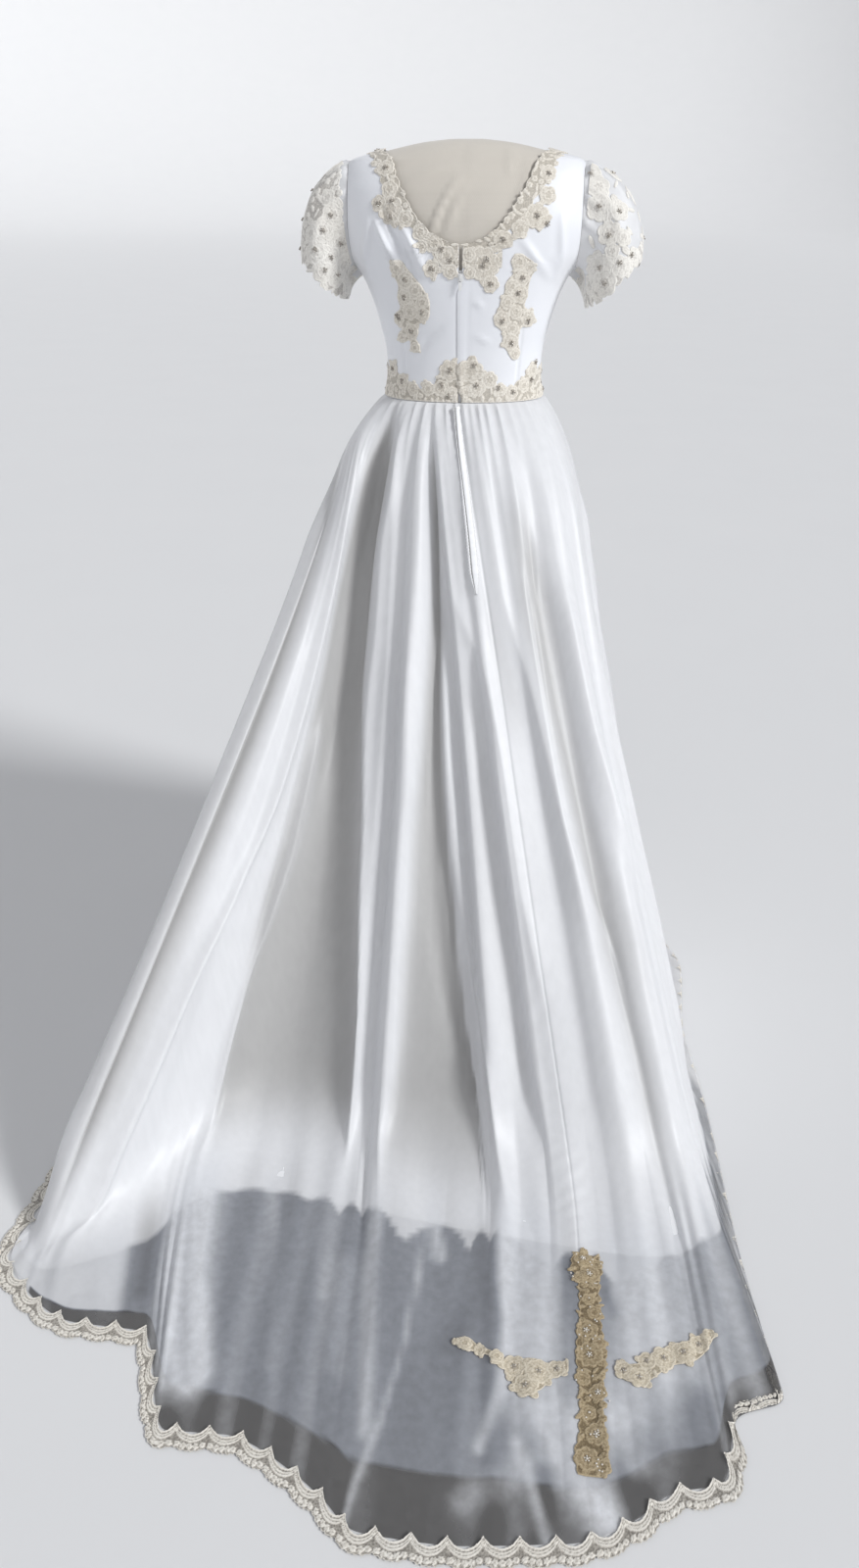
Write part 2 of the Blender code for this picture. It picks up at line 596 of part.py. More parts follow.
def sleeve_lace(grid):
    """The scalloped lace edge on a sleeve, hanging a little past the cuff."""
    outer, inner = grid
    away = unit(outer - inner)
    columns = np.linspace(0, SLEEVE_COLUMNS, SLEEVE_COLUMNS * 2 + 1)
    wave = np.array([0.0, 0.7, 1.0, 0.7])[np.arange(len(columns)) % 4]
    last = np.linalg.norm(sample(outer, SLEEVE_ROWS, columns)
                          - sample(outer, SLEEVE_ROWS - 1, columns), axis=-1)
    end = SLEEVE_ROWS + (0.002 + 0.006 * wave) / last
    start = np.full(len(columns), SLEEVE_ROWS - 0.8)
    rows = np.stack([start, np.full(len(columns), float(SLEEVE_ROWS)), end])
    out = unit(sample(away, rows, columns[None, :]))
    base = sample(outer, rows, columns[None, :])
    lift = 0.0005
    return base + out * (lift + LACE_WALL), base + out * lift


def build_sleeves(panels):
    for side_name in ("left", "right"):
        grid = sleeve_grid(panels, side_name)
        add_wall("sleeve_" + side_name, [grid], "organza")
        add_wall("sleeve_lace_" + side_name, [sleeve_lace(grid)], "lace")


# ---------------------------------------------------------------- skirt
def fold_value(name, place):
    return ring_curve(FOLDS[:, FOLD_COLUMNS.index(name)], place)


def waist_turn(place):
    """The waist turn at a place between folds; it falls by 360 degrees over one round."""
    lap = 3
    turns = np.concatenate([FOLDS[-lap:, 0] + 360, FOLDS[:, 0], FOLDS[:lap + 1, 0] - 360])
    return curve(np.arange(-lap, len(FOLDS) + lap + 1), turns, place)


def skirt_columns():
    """Places of the skirt's columns, spread so that the hem has one scallop in each."""
    hem = FOLDS[:, 3:5]
    places, starts = [], []
    for fold in range(len(FOLDS)):
        starts.append(len(places))
        distance = np.linalg.norm(hem[(fold + 1) % len(FOLDS)] - hem[fold])
        count = max(2, round(distance / SCALLOP))
        places.extend(fold + np.arange(count) / count)
    return np.array(places + [len(FOLDS)]), starts


def skirt_lengths(place):
    """Waist and contact points in plan, the way over the floor, and the lengths of the fall,
    of the floor as far as the hem lace, and of half the bend between them."""
    turn = np.radians(waist_turn(place))
    s, c = np.sin(turn), np.cos(turn)
    power = 2 / ROUNDNESS
    waist = np.stack([WAIST_HALF * np.sign(s) * np.abs(s) ** power,
                      WAIST_DEPTH * np.sign(c) * np.abs(c) ** power], -1)
    contact = np.stack([fold_value("contact_x", place), fold_value("contact_y", place)], -1)
    hem = np.stack([fold_value("hem_x", place), fold_value("hem_y", place)], -1)
    way = unit(hem - contact)
    fall = np.hypot(np.linalg.norm(contact - waist, axis=-1), WAIST)
    floor = np.linalg.norm(hem - contact, axis=-1) - LACE_WIDTH
    bend = np.minimum(BEND, 0.45 * floor)
    return waist, contact, way, fall, floor, bend


def skirt_base(place, down):
    """The smooth skirt without its folds. down is (fall, bend, floor) shares for each row."""
    waist, contact, way, fall, floor, bend = skirt_lengths(place)
    length = (down[:, 0:1] * (fall - bend) + down[:, 1:2] * 2 * bend
              + down[:, 2:3] * (floor - bend))
    past = length - fall
    slid = np.where(past < -bend, 0, np.where(past > bend, past, (past + bend) ** 2 / (4 * bend)))
    fallen = ((length - slid) / fall)[..., None]
    plan = waist + (contact - waist) * fallen + way * slid[..., None]
    lean = fold_value("sway", place) * np.sin(math.pi * np.clip(fallen[..., 0], 0, 1))
    plan = plan + np.stack([lean, 0 * lean], -1)
    height = WAIST * (1 - fallen[..., 0])
    return plan, height, length, slid


def smooth_step(x):
    x = np.clip(x, 0, 1)
    return x * x * (3 - 2 * x)


def skirt_fold_height(place, length):
    """How far the skirt stands out of its smooth form."""
    fall, floor = skirt_lengths(place)[3:5]
    high, middle, low, rise = (fold_value(n, place) for n in ("high", "middle", "low", "floor"))
    rise = np.maximum(rise, 0)
    kept = np.maximum(low, 0) * 0.8
    knots = [0 * fall, 0.15 * fall, 0.50 * fall, 0.85 * fall, fall,
             fall + 0.5 * floor, fall + 0.9 * floor]
    values = [0 * fall, high, middle, low, kept * (floor > 0.08), rise, 0 * fall]
    height = np.zeros(np.broadcast_shapes(length.shape, fall.shape))
    for a, b, start, end in zip(knots, knots[1:], values, values[1:]):
        share = (length - a) / np.maximum(b - a, 1e-9)
        inside = (share >= 0) & (share < 1)
        height = np.where(inside, start + (end - start) * smooth_step(share), height)
    return height


def turned_out(along):
    """Level directions out of the skirt, square to steps along its rows."""
    along = unit(along)
    return np.stack([along[..., 1], -along[..., 0], 0 * along[..., 0]], -1)


def skirt_grid(down, columns, inward=0.0, wall=SKIRT_WALL):
    """Outer and inner grids of one skirt layer, a closed ring of columns by rows down."""
    down = np.array(down, float)
    plan, height, length, slid = skirt_base(columns, down)
    nudge = 0.8
    ahead = skirt_base(columns + nudge, down)[0]
    behind = skirt_base(columns - nudge, down)[0]
    outward = turned_out(ahead - behind)
    hip_out = turned_out(ahead[0] - behind[0])
    fall, floor, bend = skirt_lengths(columns)[3:6]
    lying = smooth_step((length - fall + bend) / (2 * bend))[..., None]
    direction = unit(outward * (1 - lying) + np.array((0, 0, 1.0)) * lying)
    folds = skirt_fold_height(columns, length)
    pitch = np.linalg.norm(np.gradient(skirt_lengths(columns)[0], axis=0), axis=-1)
    depth = np.minimum(GATHER, GATHER_SLOPE * pitch)
    gathers = depth * np.cos(np.arange(len(columns)) * math.pi) * np.exp(-length / GATHER_LENGTH)
    hips = length / HIP_DROP
    flare = HIP_FLARE * hips * np.exp(1 - hips) * (1 - lying[..., 0])
    floor_share = np.clip((length - fall) / floor, 0, 1)
    level = FLOOR_LEVEL * lying[..., 0] * (1 - smooth_step((floor_share - 0.92) / 0.08))
    points = np.concatenate([plan, (height + level)[..., None]], -1)
    points = points + hip_out * (flare + gathers)[..., None]
    hanging = LINING_GAP_TOP + (LINING_GAP - LINING_GAP_TOP) * smooth_step(length / 0.10)
    gap = hanging + (SEAM_GAP - hanging) * lying[..., 0]
    if inward:
        folds = folds * LINING_FOLDS * (1 - lying[..., 0])
    inner = points + direction * folds[..., None] - direction * (inward * (gap + wall))[..., None]
    outer = inner + direction * wall
    return outer, inner


def cut_panel(layer, first, last):
    """A panel of a ring of cloth, from one column to another, with half a seam gap at each side."""
    outer, inner = (grid[:, first:last + 1].copy() for grid in layer)
    for edge, neighbour in ((0, 1), (-1, -2)):
        down = np.gradient(outer[:, edge], axis=0)
        inward = unit(np.cross(outer[:, edge] - inner[:, edge], down))
        inward *= np.sign((inward * (outer[:, neighbour] - outer[:, edge])).sum(-1))[:, None]
        outer[:, edge] += inward * SEAM_GAP / 2
        inner[:, edge] += inward * SEAM_GAP / 2
    return outer, inner


def skirt_rows(fall_rows, bend_rows, floor_rows):
    return ([(f, 0, 0) for f in fall_rows] + [(1, b, 0) for b in bend_rows]
            + [(1, 1, g) for g in floor_rows])


def build_skirt():
    places, starts = skirt_columns()
    centre, right_seam, last = starts[CENTRE_FOLD], starts[RIGHT_SEAM_FOLD], len(places) - 1
    back = skirt_grid(skirt_rows(FALL_ROWS, BEND_ROWS, FLOOR_ROWS), places)
    front = skirt_grid(skirt_rows(FALL_ROWS, BEND_ROWS, (1.0,)), places)
    add_wall("skirt_back_left", [cut_panel(back, 0, centre)], "organza")
    add_wall("skirt_back_right", [cut_panel(back, centre, right_seam)], "organza")
    add_wall("skirt_front", [cut_panel(front, right_seam, last)], "organza")
    lining_back = skirt_grid(skirt_rows(LINING_FALL_ROWS, BEND_ROWS, ()), places, 1.0)
    lining_front = skirt_grid(skirt_rows(LINING_FALL_ROWS, (), ()), places, 1.0)
    add_wall("lining_back", [cut_panel(lining_back, 0, right_seam)], "satin")
    add_wall("lining_front", [cut_panel(lining_front, right_seam, last)], "satin")
    build_underlay(places, starts[2], right_seam - 3, lining_back)
    build_hem_lace(back, places, 0, centre, "left")
    build_hem_lace(back, places, centre, right_seam, "right")
    build_hem_lace(front, places, right_seam, last, "front")
    build_cross(back[0])
    build_placket(back[0], centre)


def build_hem_lace(layer, places, first, last, name):
    """The scalloped lace sewn along the hem, lying flat on the floor."""
    picked = np.arange(first, last + 1)
    ring = layer[1][-1]
    along = np.roll(ring[:-1, :2], -1, 0) - np.roll(ring[:-1, :2], 1, 0)
    across = unit(np.stack([along[:, 1], -along[:, 0]], -1))[picked % len(along)]
    edge = ring[picked]
    way = unit(across + skirt_lengths(places[picked])[2])
    out = np.concatenate([way, 0 * way[:, :1]], -1)
    outs = np.stack([out, out])
    steps = 3
    columns = np.linspace(0, last - first, (last - first) * steps + 1)
    bulge = np.sin(math.pi * (columns % 1.0))
    bulge[0] = bulge[-1] = 0.0
    inner_edge = sample(np.stack([edge, edge]), 0, columns)
    direction = unit(sample(outs, 0, columns))
    reach = LACE_WIDTH - SCALLOP_DEPTH * (1 - bulge)
    near = inner_edge + direction * SEAM_GAP
    far = inner_edge + direction * reach[:, None]
    low = np.stack([near, far])
    low[..., 2] = 0.0
    low[:, 0] += unit(low[:, 1] - low[:, 0]) * SEAM_GAP / 2
    low[:, -1] += unit(low[:, -2] - low[:, -1]) * SEAM_GAP / 2
    high = low + np.array((0, 0, LACE_WALL))
    add_wall("hem_lace_" + name, [(high, low)], "lace")


def build_underlay(places, first, last, lining):
    """The second, shorter layer of the train, sewn to the lining's hem and flat on the floor."""
    columns = places[first:last + 1]
    shares = curve(UNDERLAY_END[:, 0], UNDERLAY_END[:, 1], columns)
    plan = skirt_base(columns, np.array([(1, 1, 0.7), (1, 1, 1)], float))[0]
    hem = plan[0] + (plan[1] - plan[0]) * (shares[:, None] - 0.7) / 0.3
    start = lining[1][-1, first:last + 1, :2]
    way = unit(hem - start)
    low = np.stack([start + way * 2 * SEAM_GAP, hem])
    low = np.concatenate([low, np.zeros(low.shape[:2] + (1,))], -1)
    high = low + np.array((0, 0, SKIRT_WALL - 0.0001))
    add_wall("train_underlay", [(high, low)], "organza")


def lace_on_train(grid, x, y):
    """Outer and inner points of lace that lies on the train."""
    row, column = locate(grid, [0, 1], np.stack([x, y], -1))
    base = sample(grid, row, column)
    lift = np.array((0, 0, LACE_LIFT))
    return base + lift + np.array((0, 0, LACE_WALL)), base + lift


def build_cross(grid):
    """Three sprays of lace laid out as a cross on the train."""
    across = np.array([-1, 0, 1])
    steps = round((UPRIGHT[-1, 0] - UPRIGHT[0, 0]) / CROSS_STEP)
    y = np.linspace(UPRIGHT[0, 0], UPRIGHT[-1, 0], steps + 1)
    half = look_up(UPRIGHT, UPRIGHT_COLUMNS, "half", y)
    x = look_up(UPRIGHT, UPRIGHT_COLUMNS, "x", y)[:, None] + half[:, None] * across
    upright = lace_on_train(grid, x, np.broadcast_to(y[:, None], x.shape))
    add_wall("train_cross_upright", [upright], "tan_lace")
    for name, rows in ARMS.items():
        table = rows[np.argsort(rows[:, 0])]
        steps = round((table[-1, 0] - table[0, 0]) / CROSS_STEP)
        x = np.linspace(table[0, 0], table[-1, 0], steps + 1)
        middle = curve(table[:, 0], table[:, 1], x)
        half = curve(table[:, 0], table[:, 2], x)
        y = middle[:, None] + half[:, None] * across
        arm = lace_on_train(grid, np.broadcast_to(x[:, None], y.shape), y)
        add_wall("train_cross_arm_" + name, [arm], "lace")


def build_placket(grid, centre):
    """The bound opening below the waist that carries the zip on into the skirt."""
    near = grid[:, centre - 1:centre + 2]
    depth = np.linalg.norm(near[1:, 1] - near[:-1, 1], axis=-1).cumsum()
    end = np.interp(PLACKET_LENGTH, np.concatenate([[0], depth]), np.arange(len(depth) + 1))
    rows = np.arange(0, end, 1 / 3)
    rows[0] = 0.05
    left = np.linalg.norm(sample(near, rows, 0) - sample(near, rows, 1), axis=-1)
    right = np.linalg.norm(sample(near, rows, 2) - sample(near, rows, 1), axis=-1)
    columns = np.stack([1 - PLACKET_HALF / left, np.ones(len(rows)), 1 + PLACKET_HALF / right], 1)
    base = sample(near, rows[:, None], columns)
    out = np.array((0, 1.0, 0))
    add_wall("skirt_placket", [(base + out * (LACE_LIFT + LACE_WALL), base + out * LACE_LIFT)],
             "satin")


# ---------------------------------------------------------------- zip
def back_surface(height, out):
    """The y of the bodice at its centre back."""
    return float(cloth_point(np.array(0.0), np.array(height), np.array(out))[1])


def build_zip():
    """The closed chain between the back panels, its slider, and the pull on its hinge."""
    heights = np.linspace(WAIST + 3 * SEAM_GAP, ZIP_TOP, 9)
    half = ZIP_HALF - SEAM_GAP
    face = np.array([back_surface(h, BODICE_WALL - 0.0002) for h in heights])
    x = np.array([half, 0, -half])
    outer = np.stack(np.broadcast_arrays(x, face[:, None], heights[:, None]), -1)
    add_wall("zip_chain", [(outer, outer - np.array((0, 0.0014, 0)))], "satin")
    y = back_surface(SLIDER_HEIGHT, BODICE_WALL) + 0.0004
    body_y = y + SLIDER_SIZE[1] / 2
    slider = add_block("zip_slider", (0, body_y, SLIDER_HEIGHT), SLIDER_SIZE, "white_metal")
    top = y + SLIDER_SIZE[1]
    crown = add_block("crown", (0, top + CROWN_SIZE[1] / 2 - 0.0002, SLIDER_HEIGHT), CROWN_SIZE,
                      "white_metal")
    tunnel_size = (0.004, CROWN_SIZE[1] - CROWN_STRAP, CROWN_SIZE[2] - 2 * CROWN_STRAP)
    tunnel = add_block("tunnel", (0, top + tunnel_size[1] / 2 - 0.0002, SLIDER_HEIGHT),
                       tunnel_size, "white_metal")
    combine(crown, tunnel, "DIFFERENCE")
    combine(slider, crown, "UNION")
    build_pull(top + PULL_BAR_LIFT)


def build_pull(axis_y):
    """The pull: a bar in the slider's crown, two side bars, and the tab that hangs from them."""
    hinge = bpy.data.objects.new("zip_pull_hinge", None)
    hinge.location = (0, axis_y, SLIDER_HEIGHT)
    bpy.context.collection.objects.link(hinge)
    half, window = PULL_WIDTH / 2, PULL_WINDOW[0] / 2
    bar, end = PULL_BAR / 2, PULL_WINDOW[1]
    outline = [(-half, bar), (half, bar), (half, -end), (half * 0.8, -PULL_LENGTH + 0.0015),
               (half * 0.4, -PULL_LENGTH), (-half * 0.4, -PULL_LENGTH),
               (-half * 0.8, -PULL_LENGTH + 0.0015), (-half, -end)]
    plate = bmesh.new()
    corners = [plate.verts.new((x, -PULL_THICKNESS / 2, z)) for x, z in outline]
    face = plate.faces.new(corners)
    grown = bmesh.ops.extrude_face_region(plate, geom=[face])["geom"]
    moved = [v for v in grown if isinstance(v, bmesh.types.BMVert)]
    bmesh.ops.translate(plate, vec=(0, PULL_THICKNESS, 0), verts=moved)
    bmesh.ops.recalc_face_normals(plate, faces=plate.faces)
    mesh = bpy.data.meshes.new("zip_pull")
    plate.to_mesh(mesh)
    plate.free()
    mesh.materials.append(finish("zip_pull", "white_metal"))
    pull = bpy.data.objects.new("zip_pull", mesh)
    pull.parent = hinge
    bpy.context.collection.objects.link(pull)
    hole = add_block("window", (0, axis_y, SLIDER_HEIGHT - bar - (end - bar) / 2),
                     (2 * window, 0.004, end - bar), "white_metal")
    combine(pull, hole, "DIFFERENCE")


# ---------------------------------------------------------------- dress form
def build_form():
    """The limbless form: a smooth torso with a low domed top, its pole and its base disc."""
    heights = np.concatenate([np.linspace(FORM_BOTTOM, 1.36, 12),
                              np.array([1.378, 1.389, 1.398, 1.405, 1.411, 1.414])])
    turns = np.linspace(0, 360, FORM_COLUMNS + 1)[:-1]
    rings = body_point(turns[None, :], heights[:, None], "form_half")
    count = FORM_COLUMNS
    faces = []
    for r in range(len(heights) - 1):
        for c in range(count):
            d = (c + 1) % count
            faces.append((r * count + c, r * count + d, (r + 1) * count + d, (r + 1) * count + c))
    faces.append(tuple(reversed(range(count))))
    faces.append(tuple((len(heights) - 1) * count + c for c in range(count)))
    add_mesh("form_torso", rings.reshape(-1, 3), faces, "linen")
    pole_bottom, pole_top = BASE_THICKNESS + SEAM_GAP, FORM_BOTTOM - SEAM_GAP
    add_block("form_pole", (0, 0, (pole_bottom + pole_top) / 2),
              (2 * POLE_RADIUS, 2 * POLE_RADIUS, pole_top - pole_bottom), "steel", sides=20)
    add_block("form_base", (0, 0, BASE_THICKNESS / 2),
              (2 * BASE_RADIUS, 2 * BASE_RADIUS, BASE_THICKNESS), "steel", sides=48)


def main():
    for leftover in list(bpy.data.objects):
        bpy.data.objects.remove(leftover, do_unlink=True)
    build_form()
    panels = {}
    for face in ("back", "front"):
        for side_name, side in (("left", 1), ("right", -1)):
            panels[face, side_name] = bodice_panel(side, face)
    build_bodice(panels)
    build_bodice_lace(panels)
    build_sleeves(panels)
    build_skirt()
    build_zip()


main()
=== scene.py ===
"""The looks of a white wedding dress with a train, standing on a limbless dress form.

Metres, +Z up. The dress faces -Y, its train runs along +Y, and +X is its left side.
"""

import math

import bmesh
import bpy
import numpy as np
from mathutils import Matrix, Vector
from mathutils.bvhtree import BVHTree


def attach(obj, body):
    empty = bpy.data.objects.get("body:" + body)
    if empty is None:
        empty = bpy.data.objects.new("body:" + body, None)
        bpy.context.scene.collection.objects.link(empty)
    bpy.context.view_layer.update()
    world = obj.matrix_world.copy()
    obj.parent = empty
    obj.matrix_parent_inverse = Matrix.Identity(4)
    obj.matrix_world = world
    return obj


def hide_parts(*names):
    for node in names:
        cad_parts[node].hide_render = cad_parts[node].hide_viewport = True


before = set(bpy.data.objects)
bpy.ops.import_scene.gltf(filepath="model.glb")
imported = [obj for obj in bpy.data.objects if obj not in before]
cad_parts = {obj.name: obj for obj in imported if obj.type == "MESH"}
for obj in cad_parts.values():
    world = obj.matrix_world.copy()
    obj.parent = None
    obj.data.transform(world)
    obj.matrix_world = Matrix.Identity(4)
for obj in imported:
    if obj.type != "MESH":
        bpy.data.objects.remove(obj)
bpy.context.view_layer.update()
random = np.random.default_rng(7)

SEAM_GAP = 0.0003          # between pieces that are sewn together
BODICE_WALL = 0.0015
SKIRT_WALL = 0.0012
WAIST = 1.04               # height of the waist seam
WAIST_HALF = 0.130
WAIST_DEPTH = 0.095
ROUNDNESS = 2.3            # superellipse power of the sections of the body and waist

FORM_BOTTOM = 0.80

NECK_ROW = 8               # bodice row where the neckline leaves the centre line
ARM_ROW = 7                # bodice row where the armhole leaves the side seam
BODICE_ROWS = 16
BODICE_FINE = 6            # rows of the bodice's mesh for each of these
NECK_BOTTOM_BACK = 1.270
NECK_BOTTOM_FRONT = 1.300
UNDERARM = 1.225
SHOULDER_TIP = 1.383
ZIP_HALF = 0.0026          # half the opening between the two back panels

HIP_FLARE = 0.026          # how far the gathers push the skirt out below the waist
HIP_DROP = 0.12
BEND = 0.12                # half length of the soft bend where the skirt meets the floor
FLOOR_LEVEL = 0.0015       # inner face of the skirt where the lining or underlay lies below it
LINING_GAP_TOP = 0.0006
LINING_GAP = 0.009
LINING_FOLDS = 0.7         # how much of the folds the lining takes
FALL_SHARES = np.linspace(0, 1, 121) ** 1.12       # the organza's rows down its straight fall
LINING_SHARES = np.linspace(0, 1, 60) ** 1.1
# Ridges of the gathers at the waist seam, least and most: half width, height, how far down they
# die away, and the step from one to the next.
GATHER_HALF = (0.0029, 0.0054)
GATHER_HEIGHT = (0.0040, 0.0100)
GATHER_REACH = (0.045, 0.130)
GATHER_STEP = (0.0095, 0.0200)
# The underlay: its first and last place between folds, and (place, share of the way over the floor
# to the lace) along its hem.
UNDERLAY_SPAN = (2.0, 20.57)
UNDERLAY_END = np.array([(2.0, 0.80), (4.0, 0.82), (5.0, 0.83), (6.0, 0.87), (7.5, 0.85),
                         (10.0, 0.82), (13.0, 0.85), (16.0, 0.86), (20.0, 0.78)])
LACE_WIDTH = 0.026         # hem lace, from the organza's edge to the outermost scallop
HEM_PITCH = 0.041          # one scallop
HEM_ARCH = 0.62            # power of the arcs' sine
HEM_STEP = 0.0014          # grid of the hem lace
LACE_STEP = 0.0012         # grid of the other laces that lie flat
NECK_STEP = 0.0011
# One scallop along each lace's edge.
NECK_SCALLOP = 0.019
WAIST_SCALLOP = 0.021
SLEEVE_SCALLOP = 0.024
CROSS_SCALLOP = 0.0145
# The hem lace: where its inner edge dips to between two arcs and how far an arc rises from there,
# its three cords as (way out from that edge, half width), the bars between the cords, and where
# the blossoms stand in an arc.
HEM_INNER = -0.0125
HEM_RISE = 0.0150
HEM_CORDS = ((0.0016, 0.0019), (0.0062, 0.0013), (0.0098, 0.0017))
HEM_BAR = 0.0045
HEM_BLOSSOMS = (0.12, 0.31, 0.5, 0.69, 0.88)
# Radius of a pearl and of the beads round it, that ring's radius, and the height of both.
PEARL_RADIUS = 0.0019
BEAD_RADIUS = 0.00125
BEAD_RING = 0.0034
PEARL_HEIGHT = 0.0026
BEAD_HEIGHT = 0.0022
FILLING_STEP = 0.0085      # least step between the small motifs that fill a lace
SLEEVE_LACE_STEP = 0.45    # rows of a sleeve to one row of its lace
SLEEVE_SEEN = {"left": 0.03, "right": 0.012}       # y from which on the view shows a sleeve

# Sections of the body, bottom to top. cloth_half is the half width that the bodice is cut to,
# wider than the form above the underarm, where the sleeves begin.
TORSO_COLUMNS = ("height", "form_half", "cloth_half", "back", "front", "clearance")
TORSO = np.array([
    (0.800, 0.138, 0.138, 0.098, 0.088, 0.0035),
    (0.870, 0.148, 0.148, 0.106, 0.094, 0.0035),
    (0.950, 0.139, 0.139, 0.099, 0.090, 0.0035),
    (1.000, 0.128, 0.128, 0.092, 0.088, 0.0035),
    (1.040, 0.1225, 0.1255, 0.0885, 0.088, 0.0035),
    (1.075, 0.1190, 0.1205, 0.0865, 0.090, 0.0035),
    (1.110, 0.1215, 0.1225, 0.0880, 0.097, 0.0035),
    (1.150, 0.1310, 0.1315, 0.0930, 0.112, 0.0035),
    (1.190, 0.1430, 0.1440, 0.0980, 0.127, 0.0035),
    (1.225, 0.1560, 0.1600, 0.1010, 0.133, 0.0035),
    (1.260, 0.1660, 0.1840, 0.1020, 0.131, 0.0030),
    (1.300, 0.1700, 0.1960, 0.0990, 0.118, 0.0025),
    (1.340, 0.1710, 0.1950, 0.0880, 0.094, 0.0020),
    (1.365, 0.1680, 0.1880, 0.0740, 0.074, 0.0018),
    (1.383, 0.1520, 0.1770, 0.0590, 0.057, 0.0016),
    (1.394, 0.1300, 0.1400, 0.0500, 0.047, 0.0016),
    (1.403, 0.0980, 0.1030, 0.0410, 0.038, 0.0016),
    (1.410, 0.0600, 0.0650, 0.0290, 0.027, 0.0016),
    (1.414, 0.0240, 0.0280, 0.0140, 0.013, 0.0016),
])

# Half width of each neck opening at each bodice row above the neckline's lowest point.
NECKLINE_COLUMNS = ("row", "back_height", "back_half", "front_height", "front_half")
NECKLINE = np.array([
    (8, NECK_BOTTOM_BACK, ZIP_HALF, NECK_BOTTOM_FRONT, 0.000),
    (9, 1.277, 0.030, 1.304, 0.037),
    (10, 1.289, 0.053, 1.314, 0.065),
    (11, 1.309, 0.073, 1.331, 0.086),
    (12, 1.335, 0.090, 1.350, 0.100),
    (13, 1.359, 0.103, 1.367, 0.109),
    (14, 1.378, 0.112, 1.380, 0.115),
    (15, 1.3895, 0.119, 1.3900, 0.120),
    (16, 1.3975, 0.127, 1.3975, 0.127),
])

# The armhole seam, as a half width at each height.
ARMHOLE_COLUMNS = ("height", "half")
ARMHOLE = np.array([
    (UNDERARM, 0.170),
    (1.245, 0.1715),
    (1.275, 0.1755),
    (1.310, 0.1775),
    (1.345, 0.1780),
    (1.370, 0.1785),
    (SHOULDER_TIP, 0.1820),
])

# Each cuff: its side, half width and height at its outermost point, the same at its innermost
# point, and its depth.
CUFFS = {
    "left": (1, 0.262, 1.254, 0.190, 1.191, 0.064),
    "right": (-1, 0.277, 1.252, 0.193, 1.181, 0.066),
}

